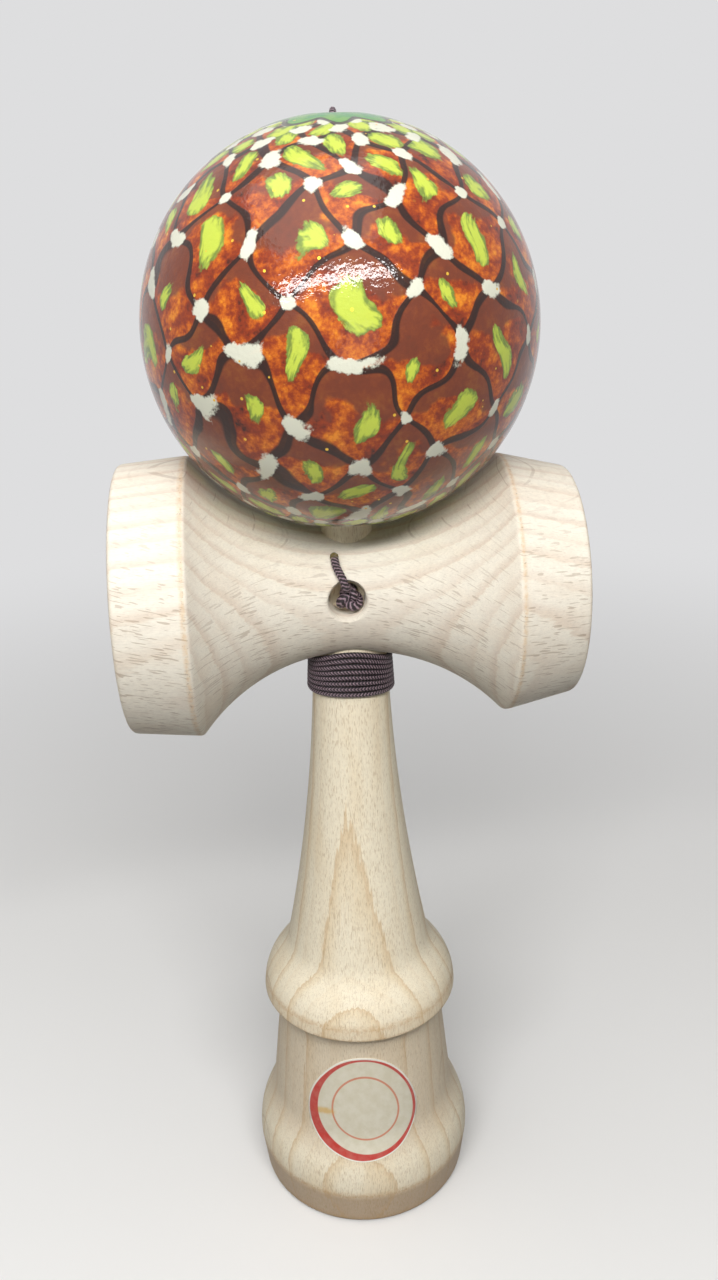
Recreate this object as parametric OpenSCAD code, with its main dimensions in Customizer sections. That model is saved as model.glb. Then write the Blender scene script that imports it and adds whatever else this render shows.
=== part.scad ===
// Kendama: a turned handle with a spike, a cross-set cup piece, and a drilled ball parked on the spike.
// The origin is the centre of the foot, +Z runs up the spike and -Y is the front, where the knot shows.

/* [Handle] */
// Height of the cup piece's axis above the foot
cross_z = 122; // [112:0.5:132]
// Height of the spike's tip above the cup piece's axis
spike_len = 42; // [38:0.5:46]
// Diameter of the foot where it meets the ground
foot_rim_d = 40; // [36:0.2:44]
// Largest diameter of the foot
foot_d = 41.6; // [38:0.2:46]
// Height of the foot's largest diameter
foot_z = 7.5; // [5:0.1:9]
// Height where the foot's shoulder runs out into the neck
neck_z = 20; // [17:0.2:23]
// Diameter of the neck above the foot
neck_base_d = 34.8; // [32:0.2:37]
// Diameter of the neck below the collar
neck_top_d = 31.1; // [28:0.2:33]
// Height of the collar's lower edge
collar_z = 42.3; // [40:0.2:46]
// Height of the hollow under the collar
collar_hollow_h = 4.8; // [3:0.1:7]
// Diameter of the collar's lower edge
collar_d = 36.4; // [34:0.2:40]
// Diameter of the collar's upper edge
collar_top_d = 35.8; // [33:0.2:39]
// Height of the collar's band
collar_h = 2.3; // [1.5:0.1:4]
// Height of the sweep from the collar's band to the grip
flare_h = 9.6; // [7:0.1:13]
// Diameter of the grip above the sweep
grip_base_d = 25.9; // [23:0.1:29]
// Diameter of the grip below the winding
grip_top_d = 13.5; // [12.6:0.1:15]
// Depth of the foot's hollow
foot_bowl_depth = 8.7; // [6:0.1:11]
// Width of the foot's rim
foot_lip = 2.5; // [1.5:0.1:4]
// Diameter of the tapered seat at its lower end
seat_low_d = 12.4; // [11.4:0.1:13.4]
// Diameter of the tapered seat at its upper end
seat_top_d = 8.4; // [7.4:0.1:9.4]
// Diameter of the spike just below its rounded tip
spike_tip_d = 5.2; // [4:0.1:6.4]
// Radius of the small rounding on turned edges
edge_round = 0.8; // [0.4:0.1:1.2]

/* [Cup piece] */
// Length of the cup piece
cross_len = 72.5; // [66:0.5:80]
// Diameter of its waist
waist_d = 20.7; // [18.7:0.1:22.7]
// Rim diameter of the large cup
big_rim_d = 44; // [40:0.2:48]
// Shoulder diameter of the large cup
big_shoulder_d = 45.8; // [42:0.2:50]
// Length of the band between the large cup's rim and shoulder
big_band = 11.4; // [9:0.1:14]
// Depth of the large cup's bowl
big_bowl_depth = 10.7; // [8:0.1:13]
// Width of the large cup's lip
big_lip = 2; // [1.2:0.1:3]
// Rim diameter of the small cup
small_rim_d = 36.6; // [33:0.2:40]
// Shoulder diameter of the small cup
small_shoulder_d = 41.6; // [38:0.2:45]
// Length of the band between the small cup's rim and shoulder
small_band = 11.4; // [9:0.1:14]
// Depth of the small cup's bowl
small_bowl_depth = 8.7; // [6:0.1:11]
// Width of the small cup's lip
small_lip = 1.8; // [1.2:0.1:3]
// Clearance between the handle's seat and the bore
seat_clear = 0.05; // [0.02:0.01:0.2]
// Diameter of the string holes through the waist
string_hole_d = 6.2; // [5.2:0.1:7.2]
// Height of the string holes above the cup piece's axis
string_rise = 1.5; // [0:0.1:2]

/* [Ball] */
// Diameter of the ball
ball_d = 60; // [56:0.5:66]
// Least gap between the ball and the cup piece
ball_gap = 1.3; // [0.8:0.1:3]
// Diameter of the ball's hole at its mouth
ball_mouth_d = 22; // [19:0.2:25]
// Width of the bevel round the mouth
mouth_bevel = 1; // [0.4:0.1:2]
// Diameter of the string's own hole at the top of the ball
ball_string_hole_d = 3; // [2.4:0.1:4]
// Diameter of the countersink round that hole
countersink_d = 7; // [5:0.2:9]

/* [String and bead] */
// Diameter of the string
cord_d = 1; // [0.8:0.05:1.2]
// Turns wound round the handle below the cup piece
wind_turns = 8; // [4:1:10]
// Rise of the winding for each turn
wind_pitch = 0.9; // [0.86:0.01:1.1]
// Diameter of the winding's tube, the core of the string
wind_tube_d = 0.42; // [0.3:0.01:0.44]
// Height by which the top turn rides up, front and back, under the waist
wind_saddle = 1.2; // [0.6:0.1:1.6]
// The same height at the lowest turn
wind_saddle_end = 0.8; // [0.4:0.1:1.2]
// Diameter of the stop knot in the front string hole
stop_knot_d = 4.1; // [3.4:0.1:4.8]
// Diameter of the end knot below the bead
end_knot_d = 3.5; // [3:0.1:4.5]
// Diameter of the bead inside the ball
bead_d = 7; // [6:0.1:8.5]
// Diameter of the bead's hole
bead_hole_d = 2; // [1.6:0.1:2.6]
// Diameter of the handle's hole for the string
cross_hole_d = 2.6; // [1.8:0.1:3.2]

/* [Label] */
// Diameter of the round label on the neck
label_d = 20.4; // [16:0.2:22]
// Height of the label's centre above the foot's shoulder
label_rise = 5.3; // [3:0.1:7]
// Thickness of the label
label_t = 0.2; // [0.1:0.05:0.4]

/* [Hidden] */
$fn = 120;
// Gap between pieces that rest on each other
rest_gap = 0.3;
// Gap between the string and the wood that it lies on
cord_gap = 0.1;
// Reach of a cut past the face that it opens
over = 1;
// Reach of the seat past the waist, above and below
seat_over = 0.65;
// Height of the land that carries the winding
land_h = 9.4;

// Heights up the handle
ken_h = cross_z + spike_len;
waist_r = waist_d / 2;
seat_half = waist_r + seat_over;
seat_low_z = cross_z - seat_half;
seat_top_z = cross_z + seat_half;
grip_top_z = seat_low_z - land_h;
string_z = cross_z + string_rise;

// Slopes of the outline, as change of radius for each millimetre of height
neck_slope = (neck_top_d - neck_base_d) / 2 / (collar_z - collar_hollow_h - neck_z);
land_slope = (seat_low_d - grip_top_d) / 2 / (seat_low_z - grip_top_z);
seat_slope = (seat_top_d - seat_low_d) / 2 / (seat_top_z - seat_low_z);

// Radius of the land that carries the winding, at height z
function land_r(z) = seat_low_d / 2 + land_slope * (z - seat_low_z);
// Radius of the tapered seat, at height z
function seat_r(z) = seat_low_d / 2 + seat_slope * (z - seat_low_z);
// Points of a cubic curve from a to d, without a itself
function curve(a, b, c, d, n) = [for (i = [1 : n]) let (t = i / n, s = 1 - t)
    s * s * s * a + 3 * s * s * t * b + 3 * s * t * t * c + t * t * t * d];
// Points of an arc round c, from angle a0 to a1
function arc(c, r, a0, a1, n) = [for (i = [0 : n]) let (a = a0 + (a1 - a0) * i / n)
    c + r * [cos(a), sin(a)]];
// Sphere radius of a bowl with rim radius r and depth d
function bowl_r(r, d) = (r * r + d * d) / (2 * d);

// Outline of the neck, from the foot's largest diameter to the collar's lower edge
// Each pull is how far a curve keeps to its end's direction
shoulder_pull = 6.5;
neck_pull = 4;
hollow_pull = 2.6;
collar_pull = [1.6, 0.7];
neck_outline = concat(
    [[foot_d / 2, foot_z]],
    curve([foot_d / 2, foot_z], [foot_d / 2, foot_z + shoulder_pull],
          [neck_base_d / 2 - neck_slope * neck_pull, neck_z - neck_pull],
          [neck_base_d / 2, neck_z], 10),
    [[neck_top_d / 2, collar_z - collar_hollow_h]],
    curve([neck_top_d / 2, collar_z - collar_hollow_h],
          [neck_top_d / 2 + neck_slope * hollow_pull, collar_z - collar_hollow_h + hollow_pull],
          [collar_d / 2, collar_z] - collar_pull, [collar_d / 2, collar_z], 7));

// Outline of the handle above the collar's lower edge
band_z = collar_z + collar_h;
grip_z = band_z + flare_h;
grip_len = grip_top_z - grip_z;
grip_slope = -0.2;
band_pull = [-1.2, 5];
flare_pull = 4;
tip_h = 2;
tip_pull = 1.2;
tip_blunt = 0.6;
upper_outline = concat(
    [[collar_top_d / 2, band_z]],
    curve([collar_top_d / 2, band_z], [collar_top_d / 2, band_z] + band_pull,
          [grip_base_d / 2 - grip_slope * flare_pull, grip_z - flare_pull],
          [grip_base_d / 2, grip_z], 10),
    curve([grip_base_d / 2, grip_z],
          [grip_base_d / 2 + grip_slope * grip_len / 3, grip_z + grip_len / 3],
          [grip_top_d / 2 - land_slope * grip_len / 3, grip_top_z - grip_len / 3],
          [grip_top_d / 2, grip_top_z], 12),
    [[seat_low_d / 2, seat_low_z], [seat_top_d / 2, seat_top_z], [spike_tip_d / 2, ken_h - tip_h]],
    curve([spike_tip_d / 2, ken_h - tip_h], [spike_tip_d / 2, ken_h - tip_h + tip_pull],
          [spike_tip_d / 2 * tip_blunt, ken_h], [0, ken_h], 6));

foot_rim_r = foot_rim_d / 2;
ken_outline = concat(
    [[0, 0]],
    arc([foot_rim_r - edge_round, edge_round], edge_round, -90, -10, 4),
    neck_outline, upper_outline);

foot_bowl_rim_r = foot_rim_r - foot_lip;
foot_bowl_r = bowl_r(foot_bowl_rim_r, foot_bowl_depth);

// Outline of the cup piece, radius against place along its axis, from the large cup to the small one
cross_half = cross_len / 2;
big_x = cross_half - big_band;
small_x = cross_half - small_band;
big_rise = big_shoulder_d / 2 - waist_r;
small_rise = small_shoulder_d / 2 - waist_r;
big_waist_r = bowl_r(big_x, big_rise);
small_waist_r = bowl_r(small_x, small_rise);
// Radius of the waist at distance x from the middle, for an arc of radius r
function waist_at(x, r) = waist_r + r - sqrt(r * r - x * x);
waist_steps = 14;
shoulder_land = 0.5;
cross_outline = concat(
    [[0, -cross_half]],
    arc([big_rim_d / 2 - edge_round, edge_round - cross_half], edge_round, -90, 0, 4),
    [[big_shoulder_d / 2, -big_x - shoulder_land]],
    [for (i = [waist_steps : -1 : 0]) let (x = big_x * i / waist_steps) [waist_at(x, big_waist_r), -x]],
    [for (i = [1 : waist_steps]) let (x = small_x * i / waist_steps) [waist_at(x, small_waist_r), x]],
    [[small_shoulder_d / 2, small_x + shoulder_land]],
    arc([small_rim_d / 2 - edge_round, cross_half - edge_round], edge_round, 0, 90, 4),
    [[0, cross_half]]);
bore_half = seat_half + 4;

// The ball hangs clear of the waist and of both shoulders
ball_r = ball_d / 2;
clear_r = ball_r + ball_gap;
ball_z = cross_z + max(waist_r + clear_r,
                       big_shoulder_d / 2 + sqrt(clear_r * clear_r - big_x * big_x),
                       small_shoulder_d / 2 + sqrt(clear_r * clear_r - small_x * small_x));
ball_top_z = ball_z + ball_r;

// Knot and bead stacked on the spike's tip, up to the end of the ball's hole
end_knot_z = ken_h + rest_gap + end_knot_d / 2;
knot_flat = 0.3;
end_knot_top_z = end_knot_z + end_knot_d / 2 - knot_flat;
bead_z = end_knot_z + end_knot_d / 2 + bead_d / 2;
hole_end_z = bead_z + bead_d / 2 + rest_gap;
bead_room = 1.5;
hole_end_d = bead_d + 2 * bead_room;
ball_low_z = ball_z - sqrt(ball_r * ball_r - ball_mouth_d * ball_mouth_d / 4);
mouth_slope = (hole_end_d - ball_mouth_d) / 2 / (hole_end_z - ball_low_z);
mouth_over = ball_low_z - (ball_z - ball_r) + over;
countersink_depth = (countersink_d - ball_string_hole_d) / 2;

// The stop knot stands against the handle, in the front string hole
stop_knot_y = -(seat_r(string_z) + cord_gap + stop_knot_d / 2);
stop_knot_back = stop_knot_y + stop_knot_d / 2 - knot_flat;

// The winding: height and radius of its middle line at turn u, counted down from the back
wind_r = land_r(seat_low_z) + cord_gap + cord_d / 2;
wind_top_z = cross_z - waist_at(wind_r, big_waist_r) - cord_d / 2 - cord_gap + wind_pitch / 4 + wind_saddle;
function wind_z(u) = wind_top_z - wind_pitch * u
    + (wind_saddle + (wind_saddle_end - wind_saddle) * u / wind_turns) * cos(720 * u);
function wind_point(u) = let (z = wind_z(u), r = land_r(z) + cord_gap + cord_d / 2)
    [r * cos(90 + 360 * u), r * sin(90 + 360 * u), z];
rings_a_turn = 24;
wind_stub = [wind_tube_d, 0, 0];
wind_start = wind_point(0);
wind_end = wind_point(wind_turns);
wind_turn_points = [for (i = [0 : wind_turns * rings_a_turn]) wind_point(i / rings_a_turn)];
wind_line = concat([wind_start + wind_stub], wind_turn_points, [wind_end - wind_stub]);
// Least distance between turns, taken between each point and those of the next turn and a half
wind_gap = min([for (i = [0 : len(wind_turn_points) - 1])
    for (j = [i + rings_a_turn / 2 : min(i + rings_a_turn * 3 / 2, len(wind_turn_points) - 1)])
    norm(wind_turn_points[i] - wind_turn_points[j])]) - wind_tube_d;
echo("least gap between turns of the winding, mm", wind_gap);

// Hand-laid routes of the string
tail_line = [[0.1, -8.6, 124.7], [-0.1, -9.8, 125.7], [-0.4, -10.2, 126.7], [-0.8, -9.5, 128.1],
             [-1.3, -8.4, 129.4], [-1.7, -7.4, 130.4], [-2, -6.5, 131.1]];
lead_line = concat(
    [[0, stop_knot_back, string_z]],
    [[0, -2, 123.5], [0, 2, 123.5], [0, 6, 123.5], [0, 8.6, 123.4], [0.2, 10.3, 122.7],
     [0.5, 11.2, 121.3], [0.9, 11.3, 119.6], [1.4, 10.9, 117.8], [2, 10.1, 116.2],
     [2.6, 9.2, 115], [2.9, 8.1, 113.9], [2.5, 7.2, 113.2], [1.6, 6.8, 112.95]],
    [wind_start + 2 * wind_stub, wind_start + wind_stub]);
run_r = ball_r + 2 * cord_gap + cord_d / 2;
riser_line = concat(
    [wind_end - wind_stub, wind_end - 2 * wind_stub],
    [[-2, 7.4, 104.9], [-2.7, 7.8, 103.8], [-3, 8.2, 102.3], [-3, 8.8, 99.9], [-2.9, 9.5, 96.5],
     [-2.7, 10.5, 93], [-2.5, 11.8, 90], [-2.2, 13.7, 87.4], [-1.9, 15.6, 86.2], [-1.6, 17.5, 86],
     [-1.4, 19.4, 86.9], [-1.2, 21.3, 89], [-1, 23.2, 92.9], [-0.8, 25.1, 99.8], [-0.6, 26.4, 107],
     [-0.4, 27.4, 115], [-0.3, 28.3, 124], [-0.2, 29.1, 133], [-0.1, 29.8, 143], [0, 30.4, 153]],
    [[0, run_r, ball_z - 5], [0, run_r, ball_z]]);
run_line = concat(
    [[0, run_r, ball_z], [0, run_r, ball_z + cord_d]],
    [for (a = [8 : 8 : 80]) [0, run_r * cos(a), ball_z + run_r * sin(a)]],
    [for (p = [[3.5, 0.45], [2, 0.3], [0.8, -0.5], [0.15, -1.8], [0, -3.5], [0, -9], [0, -16], [0, -22]])
        [0, p[0], ball_top_z + p[1]]],
    [[0, 0, end_knot_top_z]]);

// Direction of a route at each of its points
function unit(v) = v / norm(v);
function headings(p) = [for (i = [0 : len(p) - 1])
    unit(p[min(i + 1, len(p) - 1)] - p[max(i - 1, 0)])];
// Side vectors carried along a route without twist
function carried(side, heading) = unit(side - (side * heading) * heading);
function sides_along(h) = [for (i = 0, s = carried([0.31, 0.42, 0.85], h[0]); i < len(h);
    i = i + 1, s = carried(s, h[min(i, len(h) - 1)])) s];

// Tube of diameter d and n sides swept along the points p
module tube(p, d, n) {
    h = headings(p);
    s = sides_along(h);
    rings = len(p);
    points = [for (i = [0 : rings - 1]) for (k = [0 : n - 1]) let (a = 360 * k / n)
        p[i] + d / 2 * (cos(a) * s[i] + sin(a) * cross(h[i], s[i]))];
    walls = [for (i = [0 : rings - 2]) for (k = [0 : n - 1])
        let (a = i * n + k, b = i * n + (k + 1) % n) each [[a, a + n, b], [b, a + n, b + n]]];
    last = (rings - 1) * n;
    caps = [for (k = [1 : n - 2]) each [[0, k, k + 1], [last, last + k + 1, last + k]]];
    polyhedron(points, concat(walls, caps));
}

// Neck surface grown outwards by g
module grown_neck(g) {
    rotate_extrude()
        polygon(concat([[0, foot_z]], [for (p = neck_outline) [p[0] + g, p[1]]], [[0, collar_z]]));
}

// Sphere that hollows a bowl of rim radius r and depth d, its rim in the plane z = 0 and opening down
module bowl(r, d) {
    translate([0, 0, d - bowl_r(r, d)]) sphere(r = bowl_r(r, d));
}

// Turned handle: foot with a shallow cup, neck, collar, tapered grip, seat and spike
module ken() {
    color("burlywood") difference() {
        rotate_extrude() polygon(ken_outline);
        bowl(foot_bowl_rim_r, foot_bowl_depth);
        translate([0, 0, string_z]) rotate([90, 0, 0])
            cylinder(d = cross_hole_d, h = seat_low_d + 2 * over, center = true);
    }
}

// Cross-set piece with a large cup at -X and a small cup at +X, bored to sit on the handle's taper
module crosspiece() {
    color("wheat") translate([0, 0, cross_z]) difference() {
        rotate([0, 90, 0]) rotate_extrude() polygon(cross_outline);
        translate([-cross_half, 0, 0]) rotate([0, 90, 0])
            bowl(big_rim_d / 2 - big_lip, big_bowl_depth);
        translate([cross_half, 0, 0]) rotate([0, -90, 0])
            bowl(small_rim_d / 2 - small_lip, small_bowl_depth);
        translate([0, 0, -bore_half])
            cylinder(h = 2 * bore_half, r1 = seat_r(cross_z - bore_half) + seat_clear,
                     r2 = seat_r(cross_z + bore_half) + seat_clear);
        translate([0, 0, string_rise]) rotate([90, 0, 0])
            cylinder(d = string_hole_d, h = waist_d + 2 * over, center = true);
    }
}

// Thin round label that follows the neck's front
module blank_label() {
    color("ivory") intersection() {
        difference() {
            grown_neck(cord_gap + label_t);
            grown_neck(cord_gap);
        }
        translate([0, 0, neck_z + label_rise]) rotate([90, 0, 0]) cylinder(d = label_d, h = foot_d);
    }
}

// Cut end of the string, lying up the waist from the stop knot
module string_tail() {
    color("indigo") tube(tail_line, cord_d, 8);
}

// Stop knot in the front string hole, flat at the back where the string leaves it
module string_stop_knot() {
    color("indigo") difference() {
        translate([0, stop_knot_y, string_z]) sphere(d = stop_knot_d);
        translate([-stop_knot_d, stop_knot_back, string_z - stop_knot_d])
            cube([2 * stop_knot_d, stop_knot_d, 2 * stop_knot_d]);
    }
}

// String from the stop knot, through the handle and down the back to the winding
module string_lead() {
    color("indigo") tube(lead_line, cord_d, 8);
}

// Turns of the string round the handle, one unbroken tube
module string_winding() {
    color("indigo") tube(wind_line, wind_tube_d, 6);
}

// Slack string hanging behind the handle and up to the ball's back
module string_riser() {
    color("indigo") tube(riser_line, cord_d, 8);
}

// String over the back of the ball, into its top and down through the bead
module string_ball_run() {
    color("indigo") tube(run_line, cord_d, 8);
}

// Bead that holds the string inside the ball
module bead() {
    color("peru") difference() {
        translate([0, 0, bead_z]) sphere(d = bead_d);
        translate([0, 0, bead_z - bead_d]) cylinder(d = bead_hole_d, h = 2 * bead_d);
    }
}

// Knot below the bead, flat on top where the string enters it
module string_end_knot() {
    color("indigo") difference() {
        translate([0, 0, end_knot_z]) sphere(d = end_knot_d);
        translate([-end_knot_d, -end_knot_d, end_knot_top_z])
            cube([2 * end_knot_d, 2 * end_knot_d, end_knot_d]);
    }
}

// Ball with a tapered hole for the spike, a bevelled mouth and a countersunk hole for the string
module ball() {
    color("sienna") difference() {
        translate([0, 0, ball_z]) sphere(d = ball_d);
        translate([0, 0, ball_low_z - mouth_over])
            cylinder(h = hole_end_z - ball_low_z + mouth_over,
                     r1 = ball_mouth_d / 2 - mouth_over * mouth_slope, r2 = hole_end_d / 2);
        translate([0, 0, ball_low_z - mouth_over])
            cylinder(h = mouth_over + mouth_bevel, r1 = ball_mouth_d / 2 + mouth_bevel + mouth_over,
                     r2 = ball_mouth_d / 2);
        translate([0, 0, hole_end_z - over])
            cylinder(d = ball_string_hole_d, h = ball_top_z - hole_end_z + 2 * over);
        translate([0, 0, ball_top_z - countersink_depth])
            cylinder(h = countersink_depth + over, d1 = ball_string_hole_d,
                     d2 = countersink_d + 2 * over);
    }
}

ken();
crosspiece();
blank_label();
string_tail();
string_stop_knot();
string_lead();
string_winding();
string_riser();
string_ball_run();
bead();
string_end_knot();
ball();
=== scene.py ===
"""Looks of a kendama: turned beech handle and cup piece, lacquered ball, braided string, bead and label."""

import math

import bpy
import numpy as np
from mathutils import Matrix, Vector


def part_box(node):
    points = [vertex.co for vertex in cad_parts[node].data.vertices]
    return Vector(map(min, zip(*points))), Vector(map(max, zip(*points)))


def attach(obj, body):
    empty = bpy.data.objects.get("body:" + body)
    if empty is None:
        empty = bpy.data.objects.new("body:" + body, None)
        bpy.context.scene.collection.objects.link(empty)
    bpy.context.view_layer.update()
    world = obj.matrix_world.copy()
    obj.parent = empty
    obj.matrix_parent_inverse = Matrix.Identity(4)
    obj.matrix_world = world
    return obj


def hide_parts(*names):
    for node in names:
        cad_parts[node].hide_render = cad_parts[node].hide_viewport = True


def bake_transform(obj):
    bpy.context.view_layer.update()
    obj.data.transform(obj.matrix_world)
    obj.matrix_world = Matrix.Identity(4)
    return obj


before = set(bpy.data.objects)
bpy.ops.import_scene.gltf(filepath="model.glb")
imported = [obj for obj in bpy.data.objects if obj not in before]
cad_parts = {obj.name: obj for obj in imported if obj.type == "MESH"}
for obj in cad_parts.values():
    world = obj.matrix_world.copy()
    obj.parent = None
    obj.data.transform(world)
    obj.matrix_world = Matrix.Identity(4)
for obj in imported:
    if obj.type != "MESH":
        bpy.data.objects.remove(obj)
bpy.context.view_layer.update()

bl_info = {
    "name": "Kendama",
    "version": (1, 0, 0),
    "blender": (4, 5, 0),
    "location": "View3D > Sidebar > Kendama",
    "description": "Turned handle, cup piece, lacquered ball and braided string of a kendama",
    "category": "Add Mesh",
}

MM = 0.001

# Sizes of the solids. The ball's highest point is the edge of its countersink, SINK_D millimetres across
CROSS_LOW, CROSS_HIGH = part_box("crosspiece")
BALL_LOW, BALL_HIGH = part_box("ball")
AXIS_Z = (CROSS_LOW.z + CROSS_HIGH.z) / 2
CROSS_HALF = CROSS_HIGH.x
KEN_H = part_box("ken")[1].z
SINK_D = 7
BALL_R = (BALL_HIGH.x - BALL_LOW.x) / 2
BALL_C = BALL_HIGH.z - math.sqrt(BALL_R ** 2 - (SINK_D / 2 * MM) ** 2)

# Where the heart of the tree lay, in millimetres across the grain from the axis of each turned piece
HANDLE_PITH = (-7.5, -59.7)
CUP_PITH = (59.1, 31.7)

# Routes of the string in millimetres. The way into the ball is measured from the ball's axis and its top
TAIL = ((-2.5, -6.9, 130.7), (-2.45, -7.7, 130), (-2.25, -8.7, 129), (-1.8, -9.4, 128.1),
        (-1.35, -9.9, 127.2), (-1.05, -9.9, 126.2))
LEAD = ((0.1, -5, 123.7), (0, -3.6, 123.5), (0, -2, 123.5), (0, 2, 123.5), (0, 6, 123.5), (0, 8.6, 123.4),
        (0.2, 10.3, 122.7), (0.5, 11.2, 121.3), (0.9, 11.3, 119.6), (1.4, 10.9, 117.8), (2, 10.1, 116.2),
        (2.6, 9.2, 115), (2.9, 8.1, 114.1), (2.5, 7.2, 113.55), (1.6, 6.8, 113.38))
HANG = ((-2, 7.4, 104.7), (-2.7, 7.8, 103.7), (-3, 8.2, 102.3), (-3, 8.8, 99.9), (-2.9, 9.5, 96.5),
        (-2.7, 10.5, 93), (-2.5, 11.8, 90), (-2.2, 13.7, 87.4), (-1.9, 15.6, 86.2), (-1.6, 17.5, 86),
        (-1.4, 19.4, 86.9), (-1.2, 21.3, 89), (-1, 23.2, 92.9), (-0.8, 25.1, 99.8), (-0.6, 26.4, 107),
        (-0.4, 27.4, 115), (-0.3, 28.3, 124), (-0.2, 29.1, 133), (-0.1, 29.8, 143), (0, 30.4, 153))
INTO_BALL = ((3.5, 0.3), (2.3, 0.05), (1.1, -0.75), (0.3, -1.9), (0, -3.5), (0, -9), (0, -16), (0, -22),
             (0, -25.4))

# Name, place and size in metres, and power in watts of each lamp
LAMPS = (("window", (-0.03, -0.30, 0.36), (0.40, 0.035), 1.53),
         ("overhead", (-0.12, -0.16, 0.9), (0.8, 0.8), 3.7),
         ("front", (0.05, -0.85, 0.10), (0.5, 0.3), 0.5))


# Properties that a user would change

def linear(srgb):
    """Linear light of an sRGB colour written in parts of 255."""
    part = np.asarray(srgb, float) / 255
    return tuple(np.where(part <= 0.04045, part / 12.92, ((part + 0.055) / 1.055) ** 2.4).tolist())


def length(name, millimetres, description):
    """A length property, its default given in millimetres."""
    return bpy.props.FloatProperty(name=name, description=description, default=millimetres * MM,
                                   min=0.0, precision=5, subtype="DISTANCE", unit="LENGTH")


def angle(name, radians, description):
    """An angle property."""
    return bpy.props.FloatProperty(name=name, description=description, default=radians,
                                   subtype="ANGLE", unit="ROTATION")


def colour(name, srgb, description):
    """A colour property, its default given as sRGB parts of 255."""
    return bpy.props.FloatVectorProperty(name=name, description=description, default=linear(srgb),
                                         min=0.0, max=1.0, size=3, subtype="COLOR")


def group(kind, name, description):
    """A group of properties inside another."""
    return bpy.props.PointerProperty(type=kind, name=name, description=description)


class HandleProps(bpy.types.PropertyGroup):
    """Sizes and colours of the turned handle."""

    foot_rim_d: length("Foot rim", 40, "Diameter of the foot where it meets the ground")
    foot_d: length("Foot", 41.6, "Largest diameter of the foot")
    foot_z: length("Foot height", 7.5, "Height of the foot's largest diameter")
    neck_z: length("Neck height", 20, "Height where the foot's shoulder runs out into the neck")
    neck_base_d: length("Neck base", 34.8, "Diameter of the neck above the foot")
    neck_top_d: length("Neck top", 31.1, "Diameter of the neck below the collar")
    collar_z: length("Collar height", 42.3, "Height of the collar's lower edge")
    collar_hollow_h: length("Collar hollow", 4.8, "Height of the hollow under the collar")
    collar_d: length("Collar", 36.4, "Diameter of the collar's lower edge")
    collar_top_d: length("Collar top", 35.8, "Diameter of the collar's upper edge")
    collar_h: length("Collar band", 2.3, "Height of the collar's band")
    flare_h: length("Sweep", 9.6, "Height of the sweep from the collar's band to the grip")
    grip_base_d: length("Grip base", 25.9, "Diameter of the grip above the sweep")
    grip_top_d: length("Grip top", 13.5, "Diameter of the grip below the winding")
    land_h: length("Winding land", 9.4, "Height of the land that carries the winding")
    foot_bowl_depth: length("Foot hollow", 8.7, "Depth of the foot's hollow")
    foot_lip: length("Foot lip", 2.5, "Width of the foot's rim")
    seat_low_d: length("Seat low", 12.4, "Diameter of the tapered seat at its lower end")
    seat_top_d: length("Seat top", 8.4, "Diameter of the tapered seat at its upper end")
    seat_over: length("Seat reach", 0.65, "Reach of the seat past the waist, above and below")
    spike_tip_d: length("Spike tip", 5.2, "Diameter of the spike just below its rounded tip")
    cross_hole_d: length("String bore", 2.6, "Diameter of the handle's hole for the string")
    edge_ease: length("Edge easing", 0.3, "Length over which sanded edges are eased")
    pale: colour("Pale wood", (243, 232, 207), "Early wood of the handle")
    tan: colour("Tan wood", (231, 211, 176), "Late wood at the edge of each growth ring")
    fleck: colour("Ray flecks", (178, 148, 108), "Short dark flecks along the grain")
    edge: colour("Burnished edge", (203, 166, 118), "Darker wood along the turned edges")
    # Blush on the handle is partly painted shade: it darkens the neck, the hollow under the collar and the
    # foot's band.
    blush_and_painted_shade: colour("Blush", (194, 170, 144), "Rosy wood on the neck and the foot")


class CupProps(bpy.types.PropertyGroup):
    """Sizes and colours of the cross-set cup piece."""

    waist_d: length("Waist", 20.7, "Diameter of the waist")
    big_rim_d: length("Large rim", 44, "Rim diameter of the large cup")
    big_shoulder_d: length("Large shoulder", 45.8, "Shoulder diameter of the large cup")
    big_band: length("Large band", 11.4, "Length of the band between the large cup's rim and shoulder")
    big_bowl_depth: length("Large bowl", 10.7, "Depth of the large cup's bowl")
    big_lip: length("Large lip", 2, "Width of the large cup's lip")
    small_rim_d: length("Small rim", 38, "Rim diameter of the small cup")
    small_shoulder_d: length("Small shoulder", 42.7, "Shoulder diameter of the small cup")
    small_band: length("Small band", 11.4, "Length of the band between the small cup's rim and shoulder")
    small_bowl_depth: length("Small bowl", 8.7, "Depth of the small cup's bowl")
    small_lip: length("Small lip", 1.8, "Width of the small cup's lip")
    seat_clear: length("Bore clearance", 0.05, "Clearance between the handle's seat and the bore")
    string_hole_d: length("String hole", 6.2, "Diameter of the string holes through the waist")
    string_rise: length("String hole rise", 1.5, "Height of the string holes above the axis")
    string_left: length("String hole shift", 0.7, "Distance of the string holes to the left of the axis")
    hole_ease: length("Hole easing", 0.3, "Width of the eased edge round the string holes")
    edge_ease: length("Edge easing", 0.3, "Length over which sanded edges are eased")
    pale: colour("Pale wood", (240, 234, 219), "Early wood of the cup piece")
    tan: colour("Tan wood", (224, 210, 193), "Late wood at the edge of each growth ring")
    fleck: colour("Ray flecks", (146, 118, 94), "Dashes that the wood's rays leave along the grain")
    edge: colour("Burnished edge", (214, 176, 124), "Darker wood along the rims and shoulders")
    blush_and_painted_shade: colour("Blush", (228, 212, 192), "Rosy wood in places")


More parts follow.
